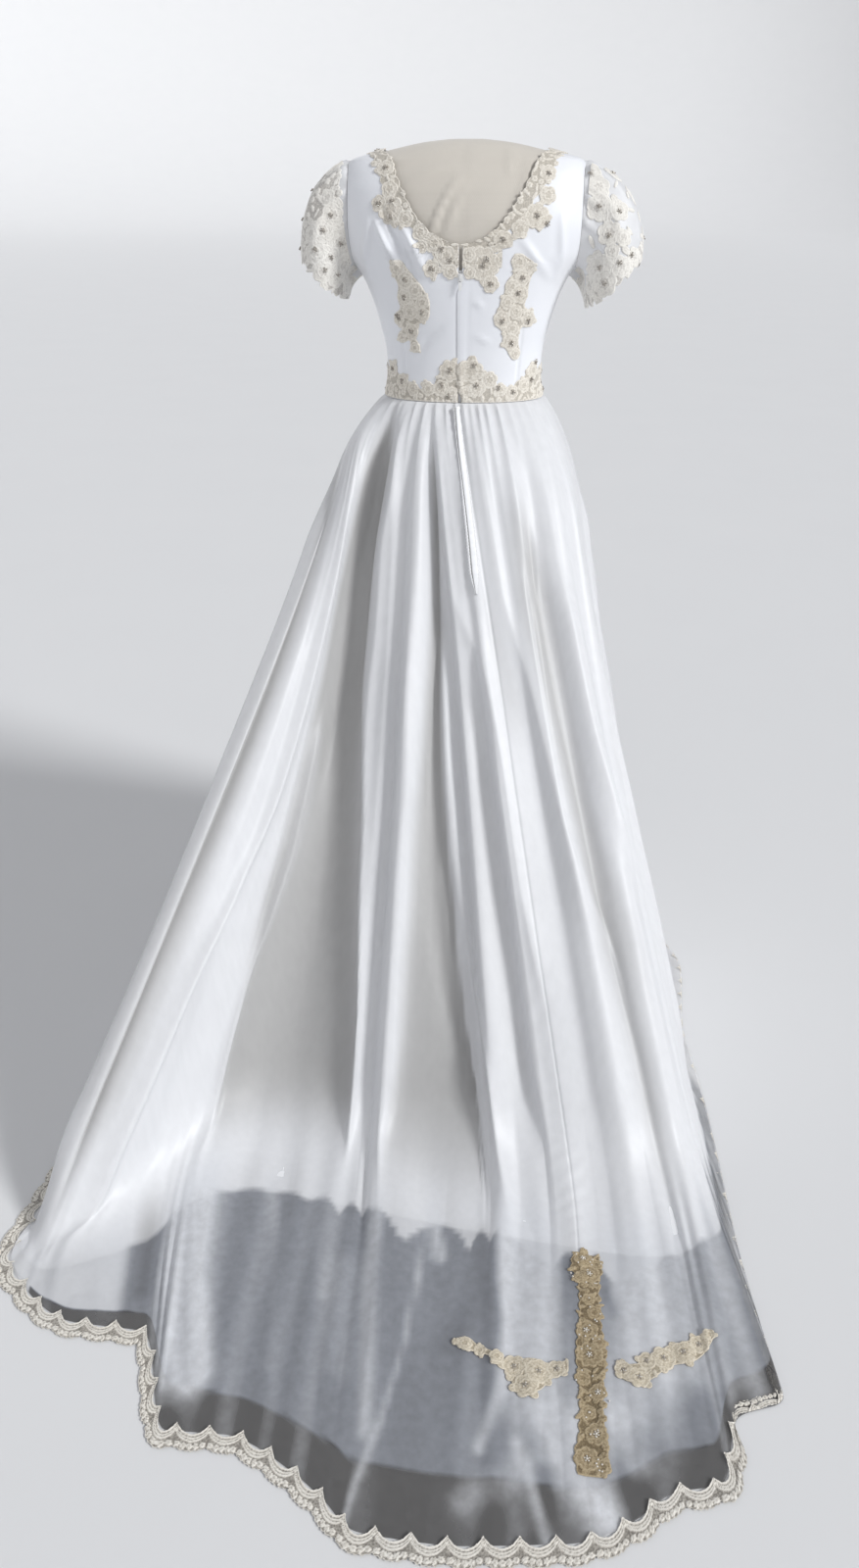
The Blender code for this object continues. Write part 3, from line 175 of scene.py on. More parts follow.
# The skirt's main folds, round from the left side seam over the back, the right side and the
# front. turn is the fold's place on the waist, in degrees from the centre back towards the left.
# contact is where it would meet the floor and hem is where it ends. high, middle and low are how
# far it stands out at 15, 50 and 85 % of its fall, and floor is its rise on the floor. sway is
# how far it leans to the left half way down.
FOLD_COLUMNS = ("turn", "contact_x", "contact_y", "hem_x", "hem_y",
                "high", "middle", "low", "floor", "sway")
FOLDS = np.array([
    (95, 0.478, 0.520, 0.545, 0.552, 0.000, 0.000, 0.000, 0.000, 0.000),
    (84, 0.550, 0.882, 0.579, 0.928, 0.008, 0.014, 0.018, 0.000, 0.000),
    (76, 0.522, 0.915, 0.522, 1.002, 0.000, 0.002, 0.002, 0.001, 0.000),
    (68, 0.465, 0.845, 0.430, 1.050, 0.006, 0.014, 0.016, 0.007, 0.000),
    (60, 0.402, 0.765, 0.335, 1.054, 0.000, 0.003, 0.000, 0.001, 0.000),
    (52, 0.345, 0.680, 0.262, 1.187, 0.002, 0.012, 0.018, 0.010, 0.000),
    (43, 0.233, 0.655, 0.190, 1.186, -0.007, -0.016, -0.006, 0.001, 0.000),
    (33, 0.121, 0.670, 0.100, 1.225, 0.004, 0.006, 0.007, 0.003, 0.000),
    (27, 0.092, 0.672, 0.060, 1.252, -0.004, -0.006, -0.002, 0.001, 0.000),
    (21, 0.069, 0.677, 0.012, 1.285, 0.007, 0.016, 0.018, 0.006, 0.000),
    (15, -0.089, 0.700, -0.078, 1.290, -0.007, -0.017, -0.020, 0.001, 0.000),
    (11, -0.123, 0.703, -0.140, 1.285, 0.002, 0.008, 0.014, 0.004, 0.000),
    (8, -0.176, 0.710, -0.190, 1.279, 0.004, -0.006, -0.012, 0.001, 0.000),
    (4, -0.207, 0.713, -0.222, 1.275, 0.006, 0.012, 0.008, 0.002, 0.000),
    (0, -0.233, 0.716, -0.248, 1.268, 0.002, 0.010, 0.008, 0.002, 0.000),
    (-11, -0.276, 0.720, -0.292, 1.245, -0.004, -0.004, -0.002, 0.001, 0.000),
    (-22, -0.320, 0.722, -0.345, 1.205, 0.007, 0.010, 0.010, 0.004, 0.000),
    (-34, -0.362, 0.715, -0.402, 1.188, -0.004, -0.005, -0.004, 0.001, 0.000),
    (-47, -0.398, 0.695, -0.430, 1.105, 0.007, 0.011, 0.011, 0.005, 0.000),
    (-60, -0.424, 0.655, -0.494, 1.066, -0.003, -0.005, -0.004, 0.001, 0.000),
    (-74, -0.425, 0.560, -0.468, 0.820, 0.006, 0.009, 0.009, 0.003, 0.000),
    (-90, -0.412, 0.340, -0.458, 0.356, 0.000, 0.000, 0.000, 0.000, 0.000),
    (-104, -0.420, 0.134, -0.470, 0.148, 0.006, 0.004, 0.000, 0.000, 0.000),
    (-117, -0.365, -0.022, -0.415, -0.028, -0.004, -0.004, 0.000, 0.000, 0.000),
    (-130, -0.346, -0.160, -0.394, -0.184, 0.006, 0.004, 0.000, 0.000, 0.000),
    (-144, -0.255, -0.243, -0.290, -0.280, -0.004, -0.005, 0.000, 0.000, 0.000),
    (-158, -0.192, -0.344, -0.217, -0.390, 0.006, 0.004, 0.000, 0.000, 0.000),
    (-171, -0.090, -0.352, -0.102, -0.402, -0.003, -0.004, 0.000, 0.000, 0.000),
    (-184, 0.011, -0.392, 0.012, -0.444, 0.005, 0.003, 0.000, 0.000, 0.000),
    (-197, 0.104, -0.354, 0.118, -0.404, -0.004, -0.004, 0.000, 0.000, 0.000),
    (-209, 0.205, -0.350, 0.230, -0.396, 0.006, 0.004, 0.000, 0.000, 0.000),
    (-221, 0.279, -0.238, 0.318, -0.272, -0.004, -0.005, 0.000, 0.000, 0.000),
    (-233, 0.374, -0.142, 0.422, -0.160, 0.006, 0.004, 0.000, 0.000, 0.000),
    (-244, 0.400, 0.008, 0.452, 0.006, -0.004, -0.004, 0.000, 0.000, 0.000),
    (-254, 0.456, 0.180, 0.507, 0.186, 0.005, 0.004, 0.000, 0.000, 0.000),
    (-260, 0.474, 0.352, 0.524, 0.370, -0.002, -0.003, 0.000, 0.000, 0.000),
])
RIGHT_SEAM_FOLD = 21
CENTRE_FOLD = 14

# Lace beside the neck: how far it reaches from the neckline at each bodice row.
NECK_LACE_COLUMNS = ("row", "back_reach", "front_reach")
NECK_LACE = np.array([
    (7, 0.030, 0.012),
    (8, 0.056, 0.040),
    (9, 0.040, 0.034),
    (10, 0.028, 0.028),
    (11, 0.026, 0.026),
    (12, 0.031, 0.028),
    (13, 0.035, 0.030),
    (14, 0.036, 0.032),
    (16, 0.034, 0.034),
])
NECK_OVERHANG = 0.006

# Top of the waist lace at each distance from the centre back.
WAIST_LACE_COLUMNS = ("half", "height")
WAIST_LACE = np.array([(0.000, 1.106), (0.030, 1.100), (0.050, 1.070), (0.080, 1.068),
                       (0.105, 1.090), (0.126, 1.104)])

# The cross of lace sprays on the train: the upright's middle and half width along y, and the
# arms' as (x, y, half width).
UPRIGHT_COLUMNS = ("y", "x", "half")
UPRIGHT = np.array([(0.850, -0.248, 0.021), (0.875, -0.248, 0.024), (0.900, -0.250, 0.016),
                    (0.960, -0.251, 0.017), (1.010, -0.251, 0.022), (1.060, -0.250, 0.017),
                    (1.120, -0.249, 0.018), (1.150, -0.248, 0.023), (1.170, -0.248, 0.018)])
ARMS = {
    "left": np.array([(-0.072, 1.006, 0.004), (-0.090, 1.010, 0.014), (-0.108, 1.016, 0.006),
                      (-0.135, 1.030, 0.006), (-0.160, 1.046, 0.030), (-0.180, 1.046, 0.032),
                      (-0.204, 1.036, 0.014), (-0.222, 1.030, 0.011)]),
    "right": np.array([(-0.282, 1.026, 0.012), (-0.305, 1.032, 0.019), (-0.330, 1.020, 0.022),
                       (-0.352, 1.002, 0.019), (-0.376, 0.994, 0.022), (-0.396, 0.982, 0.017),
                       (-0.412, 0.966, 0.006)]),
}

ZIP_TOP = 1.236
TOOTH = 0.0013             # pitch of the zip's teeth
LAP = 0.0022               # how far the lapped edge of the back passes the other one
LAP_TOP = 1.222
# The placket's middle as (place between folds, share of the fall), its half width, and the share
# of the fall over which its end narrows.
PLACKET = [(13.72, 0.005), (13.64, 0.070), (13.45, 0.168), (13.12, 0.2757)]
PLACKET_HALF = 0.0076
PLACKET_TAPER = 0.036


# ---------------------------------------------------------------- curves through tables
def curve(places, values, at):
    """A smooth curve through a table's points that never overshoots them."""
    places, values, at = (np.asarray(v, float) for v in (places, values, at))
    step = np.diff(places)
    slope = np.diff(values) / step
    tangent = np.zeros(len(places))
    same = slope[:-1] * slope[1:] > 0
    tangent[1:-1][same] = 2 * (slope[:-1] * slope[1:])[same] / (slope[:-1] + slope[1:])[same]
    tangent[0], tangent[-1] = slope[0], slope[-1]
    i = np.clip(np.searchsorted(places, at, side="right") - 1, 0, len(step) - 1)
    t = np.clip((at - places[i]) / step[i], 0, 1)
    return (values[i] * (1 + 2 * t) * (1 - t) ** 2 + values[i + 1] * t ** 2 * (3 - 2 * t)
            + step[i] * (tangent[i] * t * (1 - t) ** 2 - tangent[i + 1] * t ** 2 * (1 - t)))


def look_up(table, columns, name, at):
    """The named column of a table at a place on its first column."""
    return curve(table[:, 0], table[:, columns.index(name)], at)


def ring_curve(values, at):
    """A smooth closed curve through evenly numbered values that never overshoots them."""
    count, lap = len(values), 3
    places = np.arange(-lap, count + lap + 1)
    return curve(places, np.asarray(values, float)[places % count], at)


def unit(vectors):
    return vectors / np.maximum(np.linalg.norm(vectors, axis=-1, keepdims=True), 1e-12)


def way_along(points):
    """How far along a line each of its points lies."""
    return np.concatenate([[0], np.linalg.norm(np.diff(points, axis=0), axis=1).cumsum()])


def from_line(x, y, line):
    """How far places are from a line through points, and the share of its length beside them."""
    line = np.array(line)
    along = way_along(line)
    best, share = np.full(x.shape, 9.0), np.zeros(x.shape)
    for a, b, start, end in zip(line, line[1:], along, along[1:]):
        t = np.clip(((x - a[0]) * (b - a)[0] + (y - a[1]) * (b - a)[1]) / (end - start) ** 2, 0, 1)
        away = np.hypot(x - a[0] - t * (b - a)[0], y - a[1] - t * (b - a)[1])
        share = np.where(away < best, (start + t * (end - start)) / along[-1], share)
        best = np.minimum(best, away)
    return best, share


def sample(grid, row, column):
    """Points on a grid's own flat facets, or straight past its edge."""
    row, column = np.broadcast_arrays(np.asarray(row, float), np.asarray(column, float))
    i = np.clip(np.floor(row).astype(int), 0, grid.shape[0] - 2)
    j = np.clip(np.floor(column).astype(int), 0, grid.shape[1] - 2)
    s, t = (row - i)[..., None], (column - j)[..., None]
    start, end = grid[i, j], grid[i + 1, j + 1]
    above, beside = grid[i, j + 1], grid[i + 1, j]
    return start + np.where(t >= s, t * (above - start) + s * (end - above),
                            s * (beside - start) + t * (end - beside))


def body_point(turn, height, half_name):
    """A point on the body: turn in degrees from the centre back towards the left."""
    turn, height = np.broadcast_arrays(np.asarray(turn, float), np.asarray(height, float))
    half, back, front = (look_up(TORSO, TORSO_COLUMNS, n, height)
                         for n in (half_name, "back", "front"))
    s, c = np.sin(np.radians(turn)), np.cos(np.radians(turn))
    power = 2 / ROUNDNESS
    x = half * np.sign(s) * np.abs(s) ** power
    y = np.where(c > 0, back, front) * np.sign(c) * np.abs(c) ** power
    return np.stack([x, y, height], -1)


def cloth_point(turn, height, out):
    """A point of the bodice, moved out from its inner face along the surface's own normal."""
    small_turn, small_rise = 0.5, 0.001
    base = body_point(turn, height, "cloth_half")
    along = (body_point(turn + small_turn, height, "cloth_half")
             - body_point(turn - small_turn, height, "cloth_half"))
    up = (body_point(turn, height + small_rise, "cloth_half")
          - body_point(turn, height - small_rise, "cloth_half"))
    normal = unit(np.cross(up, along))
    level = np.clip((height - WAIST) / 0.03, 0, 1)
    normal[..., 2] *= level
    normal = unit(normal)
    clearance = look_up(TORSO, TORSO_COLUMNS, "clearance", height)
    return base + normal * (clearance + out)[..., None]


def turn_at(half, height):
    """The turn at which the cloth's section is this far from the middle."""
    reach = look_up(TORSO, TORSO_COLUMNS, "cloth_half", height)
    share = np.clip(np.asarray(half, float) / reach, 0, 1)
    return np.degrees(np.arcsin(share ** (ROUNDNESS / 2)))


def fold_value(name, place):
    return ring_curve(FOLDS[:, FOLD_COLUMNS.index(name)], place)


def waist_turn(place):
    """The waist turn at a place between folds; it falls by 360 degrees over one round."""
    lap = 3
    turns = np.concatenate([FOLDS[-lap:, 0] + 360, FOLDS[:, 0], FOLDS[:lap + 1, 0] - 360])
    return curve(np.arange(-lap, len(FOLDS) + lap + 1), turns, place)


def skirt_lengths(place):
    """Waist and contact points in plan, the way over the floor, and the lengths of the fall,
    of the floor as far as the hem lace, and of half the bend between them."""
    turn = np.radians(waist_turn(place))
    s, c = np.sin(turn), np.cos(turn)
    power = 2 / ROUNDNESS
    waist = np.stack([WAIST_HALF * np.sign(s) * np.abs(s) ** power,
                      WAIST_DEPTH * np.sign(c) * np.abs(c) ** power], -1)
    contact = np.stack([fold_value("contact_x", place), fold_value("contact_y", place)], -1)
    hem = np.stack([fold_value("hem_x", place), fold_value("hem_y", place)], -1)
    way = unit(hem - contact)
    fall = np.hypot(np.linalg.norm(contact - waist, axis=-1), WAIST)
    floor = np.linalg.norm(hem - contact, axis=-1) - LACE_WIDTH
    bend = np.minimum(BEND, 0.45 * floor)
    return waist, contact, way, fall, floor, bend


def skirt_base(place, down):
    """The smooth skirt without its folds. down is (fall, bend, floor) shares for each row."""
    waist, contact, way, fall, floor, bend = skirt_lengths(place)
    length = (down[:, 0:1] * (fall - bend) + down[:, 1:2] * 2 * bend
              + down[:, 2:3] * (floor - bend))
    past = length - fall
    slid = np.where(past < -bend, 0, np.where(past > bend, past, (past + bend) ** 2 / (4 * bend)))
    fallen = ((length - slid) / fall)[..., None]
    plan = waist + (contact - waist) * fallen + way * slid[..., None]
    lean = fold_value("sway", place) * np.sin(math.pi * np.clip(fallen[..., 0], 0, 1))
    plan = plan + np.stack([lean, 0 * lean], -1)
    return plan, WAIST * (1 - fallen[..., 0]), length


def smooth_step(x):
    x = np.clip(x, 0, 1)
    return x * x * (3 - 2 * x)


def skirt_fold_height(place, length):
    """How far the skirt stands out of its smooth form."""
    fall, floor = skirt_lengths(place)[3:5]
    high, middle, low, rise = (fold_value(n, place) for n in ("high", "middle", "low", "floor"))
    rise = np.maximum(rise, 0)
    kept = np.maximum(low, 0) * 0.8
    knots = [0 * fall, 0.15 * fall, 0.50 * fall, 0.85 * fall, fall,
             fall + 0.5 * floor, fall + 0.9 * floor]
    values = [0 * fall, high, middle, low, kept * (floor > 0.08), rise, 0 * fall]
    height = np.zeros(np.broadcast_shapes(length.shape, fall.shape))
    for a, b, start, end in zip(knots, knots[1:], values, values[1:]):
        share = (length - a) / np.maximum(b - a, 1e-9)
        inside = (share >= 0) & (share < 1)
        height = np.where(inside, start + (end - start) * smooth_step(share), height)
    return height


def turned_out(along):
    """Level directions out of the skirt, square to steps along its rows."""
    along = unit(along)
    return np.stack([along[..., 1], -along[..., 0], 0 * along[..., 0]], -1)


# ---------------------------------------------------------------- camera, light and floor
CAMERA_PLACE = (-0.1430, 2.0450, 1.35)
CAMERA_RIGHT = (-0.99522, -0.09770, 0.0)
CAMERA_PITCH = math.radians(26.95)
CAMERA_LENS = 27           # mm, on a frame 36 mm high
SKY_COLOUR = (0.93, 0.95, 1.0)
SKY_STRENGTH = 0.42
FLOOR_DROP = 0.0006        # how far the stage lies under the hem, so that the two don't meet


def set_stage():
    scene = bpy.context.scene
    camera = bpy.data.objects.new("camera", bpy.data.cameras.new("camera"))
    scene.collection.objects.link(camera)
    camera.data.sensor_fit = "VERTICAL"
    camera.data.sensor_height = 36
    camera.data.lens = CAMERA_LENS
    right = Vector(CAMERA_RIGHT).normalized()
    level = Vector((0, 0, 1)).cross(right).normalized()
    forward = level * math.cos(CAMERA_PITCH) - Vector((0, 0, math.sin(CAMERA_PITCH)))
    up = right.cross(forward)
    camera.matrix_world = Matrix((
        (right.x, up.x, -forward.x, CAMERA_PLACE[0]),
        (right.y, up.y, -forward.y, CAMERA_PLACE[1]),
        (right.z, up.z, -forward.z, CAMERA_PLACE[2]),
        (0, 0, 0, 1)))
    scene.camera = camera
    world = bpy.data.worlds.new("studio")
    world.use_nodes = True
    sky = world.node_tree.nodes["Background"]
    sky.inputs["Color"].default_value = (*SKY_COLOUR, 1)
    sky.inputs["Strength"].default_value = SKY_STRENGTH
    scene.world = world
    for name, way, energy, angle, colour in SUNS:
        light = bpy.data.lights.new(name, "SUN")
        light.energy, light.angle, light.color = energy, math.radians(angle), colour
        lamp = bpy.data.objects.new(name, light)
        lamp.rotation_mode = "QUATERNION"
        lamp.rotation_quaternion = Vector(way).to_track_quat("Z", "Y")
        scene.collection.objects.link(lamp)
    scene.view_settings.view_transform = "Standard"
    floor = new_piece("floor", *backdrop(), FLOOR_PAINT)
    floor.location.z = -FLOOR_DROP


# name, the way towards it, strength, width in degrees, colour
SUNS = (
    ("key", (-0.80, 0.36, 0.55), 2.36, 14, (0.98, 0.99, 1.0)),
    ("fill", (0.10, 0.85, 0.50), 0.22, 50, (1.0, 0.95, 0.88)),
)


def backdrop(flat=40.0, bend=20.0, top=27.0, sides=96):
    """A wide floor that curves up into a wall all round."""
    angles = np.radians(np.arange(0, 91, 7.5))
    profile = [(0.02, 0.0), (3.0, 0.0), (12.0, 0.0)]
    profile += [(flat + bend * math.sin(a), bend * (1 - math.cos(a))) for a in angles]
    profile = np.array(profile + [(flat + bend, top)])
    turn = np.linspace(0, 2 * math.pi, sides + 1)
    grid = np.stack([profile[:, :1] * np.cos(turn), profile[:, :1] * np.sin(turn),
                     profile[:, 1:] + 0 * turn], -1)
    middle = np.zeros((1, sides + 1, 3))
    grid = np.concatenate([middle, grid])
    return grid, grid_faces(grid.shape[:2])[:, ::-1]


# ---------------------------------------------------------------- meshes
def new_piece(name, points, faces, material, **values):
    """An object from arrays of points and of triangles or quads. values are one number a point."""
    points = np.asarray(points, np.float32).reshape(-1, 3)
    faces = np.asarray(faces, np.int32)
    size = faces.shape[1]
    mesh = bpy.data.meshes.new(name)
    mesh.vertices.add(len(points))
    mesh.vertices.foreach_set("co", points.ravel())
    mesh.loops.add(faces.size)
    mesh.loops.foreach_set("vertex_index", faces.ravel())
    mesh.polygons.add(len(faces))
    mesh.polygons.foreach_set("loop_start", np.arange(0, faces.size, size, dtype=np.int32))
    mesh.update(calc_edges=True)
    mesh.validate()
    mesh.shade_smooth()
    for key, value in values.items():
        layer = mesh.attributes.new(key, "FLOAT", "POINT")
        layer.data.foreach_set("value", np.asarray(value, np.float32).ravel())
    mesh.materials.append(material)
    piece = bpy.data.objects.new(name, mesh)
    bpy.context.collection.objects.link(piece)
    return piece


def grid_faces(shape):
    """Quads of a grid, each from its row and column on."""
    number = np.arange(shape[0] * shape[1]).reshape(shape)
    return np.stack([number[:-1, :-1], number[:-1, 1:], number[1:, 1:], number[1:, :-1]],
                    -1).reshape(-1, 4)


def facing(points, faces, outward):
    """The faces, all turned round if they look against outward, one direction a point."""
    a, b, c = (points.reshape(-1, 3)[faces[:, k]] for k in (0, 1, 2))
    look = (np.cross(b - a, c - a) * outward.reshape(-1, 3)[faces[:, 0]]).sum()
    return faces if look > 0 else faces[:, ::-1]


def grid_piece(name, grid, outward, material, slot, nodes, body="dress", **values):
    faces = facing(grid, grid_faces(grid.shape[:2]), outward)
    settle(new_piece(name, grid, faces, material, **values), nodes, body)


def settle(piece, nodes=(), body="dress"):
    """Puts a piece on its body, in the place of the solids named."""
    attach(piece, body)
    if nodes:
        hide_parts(*nodes)


def normals_of(grid):
    """Directions square to a grid's surface, all to the same side."""
    return unit(np.cross(np.gradient(grid, axis=1), np.gradient(grid, axis=0)))


# ---------------------------------------------------------------- materials
def paint(name, colour, roughness, build=None, **inputs):
    """A Principled material. build(tree, shader) adds its own nodes."""
    material = bpy.data.materials.new(name)
    material.use_nodes = True
    tree = material.node_tree
    shader = tree.nodes["Principled BSDF"]
    shader.inputs["Base Color"].default_value = (*colour, 1)
    shader.inputs["Roughness"].default_value = roughness
    for key, value in inputs.items():
        shader.inputs[key.replace("_", " ")].default_value = value
    if build:
        build(tree, shader)
    return material


def node(tree, kind, links=(), **values):
    """A shader node with its inputs set by name or number, then linked."""
    made = tree.nodes.new(kind)
    for key, value in values.items():
        if hasattr(made, key):
            setattr(made, key, value)
        else:
            made.inputs[key.replace("_", " ")].default_value = value
    for socket, source in links:
        tree.links.new(source, made.inputs[socket])
    return made


def mix(tree, share, low, high):
    """Low and high are colours or sockets; share is a socket."""
    made = tree.nodes.new("ShaderNodeMix")
    made.data_type = "RGBA"
    tree.links.new(share, made.inputs[0])
    for number, value in ((6, low), (7, high)):
        if isinstance(value, tuple):
            made.inputs[number].default_value = (*value, 1)
        else:
            tree.links.new(value, made.inputs[number])
    return made.outputs[2]


def noise(tree, scale, stretch=(1, 1, 1), detail=3.0):
    place = node(tree, "ShaderNodeTexCoord")
    spread = node(tree, "ShaderNodeMapping", [("Vector", place.outputs["Object"])])
    spread.inputs["Scale"].default_value = stretch
    made = node(tree, "ShaderNodeTexNoise", [("Vector", spread.outputs[0])], Scale=scale,
                Detail=detail)
    return made.outputs[0]


def bump(tree, shader, height, distance, strength=1.0):
    made = node(tree, "ShaderNodeBump", [("Height", height)])
    made.inputs["Distance"].default_value = distance
    made.inputs["Strength"].default_value = strength
    tree.links.new(made.outputs[0], shader.inputs["Normal"])


def attribute(tree, name):
    return node(tree, "ShaderNodeAttribute", attribute_name=name).outputs["Fac"]


def added(tree, first, second):
    return node(tree, "ShaderNodeMath", [(0, first), (1, second)], operation="ADD").outputs[0]


def times(tree, first, second):
    return node(tree, "ShaderNodeVectorMath", [(0, first), (1, second)],
                operation="MULTIPLY").outputs[0]


def ranged(tree, value, low=0.0, high=1.0, first=0.0, last=1.0):
    """A socket's value, carried over from low to high into first to last."""
    return node(tree, "ShaderNodeMapRange", [("Value", value)], From_Min=low, From_Max=high,
                To_Min=first, To_Max=last).outputs[0]


def ramp(tree, share, low, middle, high, inset=0.0):
    """The colour at a share of the way from low over middle to high."""
    made = node(tree, "ShaderNodeValToRGB", [("Fac", share)])
    points = made.color_ramp.elements
    points[0].position, points[0].color = inset, (*low, 1)
    points[1].position, points[1].color = 1 - inset, (*high, 1)
    points.new(0.5).color = (*middle, 1)
    return made.outputs[0]


def woven(pitch, low, high, rough=None, hollow=None):
    """Cloth of two crossing sets of threads, a little uneven in tone; given hollow, darkened
    towards that colour by the painted shade of the attribute shade.
    """
    def build(tree, shader):
        place = node(tree, "ShaderNodeTexCoord").outputs["Object"]
        threads = [node(tree, "ShaderNodeTexWave", [("Vector", place)], bands_direction=way,
                        Scale=0.314 / pitch, Distortion=0.6).outputs["Fac"]
                   for way in ("DIAGONAL", "Z")]
        bump(tree, shader, added(tree, *threads), pitch * 0.12, 0.35)
        colour = mix(tree, noise(tree, 6.0, detail=4.0), low, high)
        if hollow:
            colour = shaded(tree, colour, hollow)
        tree.links.new(colour, shader.inputs["Base Color"])
        if rough:
            tree.links.new(ranged(tree, noise(tree, 40.0), 0, 1, *rough),
                           shader.inputs["Roughness"])
    return build


def shaded(tree, colour, hollow):
    """The colour socket, darker by the attribute shade in the hollows of the folds."""
    return times(tree, colour, mix(tree, attribute(tree, "shade"), (1.0, 1.0, 1.0), hollow))


def veiled(near, middle, far, pale, slub, hollow):
    """Sheer cloth: its colour goes from near to far by the attribute veil, towards pale or dark by
    the attribute light, which paints sheen and shadow as well as doubled layers, and towards hollow
    by the painted shade of the attribute shade, with fine slubs and a mottle where it lies on
    nothing."""
    def build(tree, shader):
        veil, light = attribute(tree, "veil"), attribute(tree, "light")
        # The attribute light paints sheen towards pale and shadow towards a dark grey.
        lighter = mix(tree, ranged(tree, light), ramp(tree, veil, near, middle, far), pale)
        darker = mix(tree, ranged(tree, light, 0, -1), (1.0, 1.0, 1.0), (0.35, 0.34, 0.33))
        slubs = ranged(tree, noise(tree, 90.0, (1, 1, 0.08), 2.0), 0, 1, 1 - slub, 1)
        mottle = mix(tree, ranged(tree, noise(tree, 75.0, detail=5.0), 0.3, 0.7),
                     (0.82, 0.81, 0.80), (1.16, 1.16, 1.16))
        colour = shaded(tree, lighter, hollow)
        for factor in (darker, slubs, mix(tree, veil, (1.0, 1.0, 1.0), mottle)):
            colour = times(tree, colour, factor)
        tree.links.new(colour, shader.inputs["Base Color"])
        bump(tree, shader, noise(tree, 900.0, detail=1.0), 0.0002, 0.25)
    return build


def laced(ground, motif, cord, uneven_by=0.28):
    """Lace: tone 0 is its net, 0.5 a motif's filling and 1 a raised cord."""
    def build(tree, shader):
        uneven = ranged(tree, noise(tree, 430.0), 0.3, 0.7, -uneven_by, uneven_by)
        tone = added(tree, attribute(tree, "tone"), uneven)
        age = mix(tree, noise(tree, 14.0, detail=2.0), (1.0, 0.995, 0.985), (0.94, 0.91, 0.86))
        colour = times(tree, ramp(tree, tone, ground, motif, cord, 0.05), age)
        tree.links.new(colour, shader.inputs["Base Color"])
        bump(tree, shader, noise(tree, 1400.0, detail=2.0), 0.0004, 0.6)
    return build


def grained(low, high, scale, depth):
    """A painted or cast surface with faint grain."""
    def build(tree, shader):
        tree.links.new(mix(tree, noise(tree, scale, detail=6.0), low, high),
                       shader.inputs["Base Color"])
        bump(tree, shader, noise(tree, scale * 6), depth, 0.4)
    return build


FLOOR_PAINT = paint("floor_paint", (0.80, 0.80, 0.80), 0.7,
                    grained((0.790, 0.792, 0.798), (0.812, 0.813, 0.816), 2.0, 0.0004))
SATIN = paint("satin_white", (0.86, 0.88, 0.92), 0.42,
              woven(0.0011, (0.845, 0.862, 0.905), (0.885, 0.895, 0.925), (0.36, 0.50)),
              Sheen_Weight=0.25)
# The last colour given to the lining, the organza and the placket is painted shade, which the
# attribute shade mixes into the hollows, troughs and grooves.
LINING = paint("lining_satin", (0.86, 0.87, 0.89), 0.5,
               woven(0.0011, (0.850, 0.862, 0.885), (0.895, 0.900, 0.912), (0.42, 0.56),
                     (0.66, 0.65, 0.63)),
               Sheen_Weight=0.2)
ORGANZA = paint("organza_sheer", (0.9, 0.9, 0.93), 0.42,
                veiled((0.90, 0.905, 0.925), (0.34, 0.355, 0.39), (0.062, 0.058, 0.055),
                       (0.90, 0.915, 0.95), 0.10, (0.62, 0.61, 0.59)),
                Alpha=0.7, Sheen_Weight=0.2)
UNDERLAY = paint("underlay_taffeta", (0.55, 0.58, 0.64), 0.5,
                 woven(0.0012, (0.36, 0.38, 0.42), (0.44, 0.46, 0.50)),
                 Alpha=0.9, Sheen_Weight=0.2)
SLEEVE = paint("sleeve_sheer", (0.8, 0.8, 0.82), 0.45,
               woven(0.0009, (0.86, 0.87, 0.89), (0.92, 0.92, 0.93)),
               Alpha=0.78, Sheen_Weight=0.3)
SLEEVE_LACE = paint("sleeve_corded_lace", (0.8, 0.78, 0.74), 0.75,
                    laced((0.52, 0.50, 0.48), (0.80, 0.785, 0.755), (0.93, 0.92, 0.89)),
                    Sheen_Weight=0.2)
IVORY_LACE = paint("ivory_corded_lace", (0.8, 0.74, 0.64), 0.75,
                   laced((0.50, 0.47, 0.42), (0.68, 0.64, 0.575), (0.88, 0.85, 0.79)),
                   Sheen_Weight=0.2)
WHITE_LACE = paint("hem_corded_lace", (0.82, 0.78, 0.70), 0.75,
                   laced((0.22, 0.205, 0.185), (0.62, 0.59, 0.54), (0.93, 0.91, 0.86), 0.2),
                   Sheen_Weight=0.2)
CREAM_LACE = paint("cream_corded_lace", (0.70, 0.63, 0.50), 0.75,
                   laced((0.36, 0.31, 0.23), (0.56, 0.495, 0.385), (0.78, 0.72, 0.60)),
                   Sheen_Weight=0.2)
TAN_LACE = paint("tan_corded_lace", (0.66, 0.57, 0.44), 0.75,
                 laced((0.16, 0.118, 0.062), (0.30, 0.232, 0.135), (0.50, 0.41, 0.27)),
                 Sheen_Weight=0.2)
LINEN = paint("form_linen", (0.66, 0.61, 0.54), 0.85,
              woven(0.0016, (0.60, 0.555, 0.49), (0.68, 0.64, 0.575)), Sheen_Weight=0.3)
ZIP_CLOTH = paint("zip_white", (0.82, 0.82, 0.82), 0.45,
                  grained((0.74, 0.74, 0.75), (0.86, 0.86, 0.86), 500.0, 0.0001))
PLACKET_CLOTH = paint("placket_satin", (0.86, 0.87, 0.90), 0.42,
                      woven(0.0011, (0.850, 0.862, 0.885), (0.895, 0.900, 0.912), None,
                            (0.30, 0.285, 0.265)), Sheen_Weight=0.2)
STEEL = paint("brushed_steel", (0.6, 0.6, 0.6), 0.35,
              grained((0.52, 0.52, 0.53), (0.62, 0.62, 0.63), 60.0, 0.0002), Metallic=1.0)
WHITE_METAL = paint("white_enamel", (0.85, 0.85, 0.85), 0.3,
                    grained((0.80, 0.80, 0.80), (0.88, 0.88, 0.87), 300.0, 0.0001))
PEARL = paint("pearl", (0.74, 0.70, 0.63), 0.22,
              grained((0.62, 0.58, 0.52), (0.86, 0.83, 0.77), 220.0, 0.00005),
              Coat_Weight=0.6, Metallic=0.15)
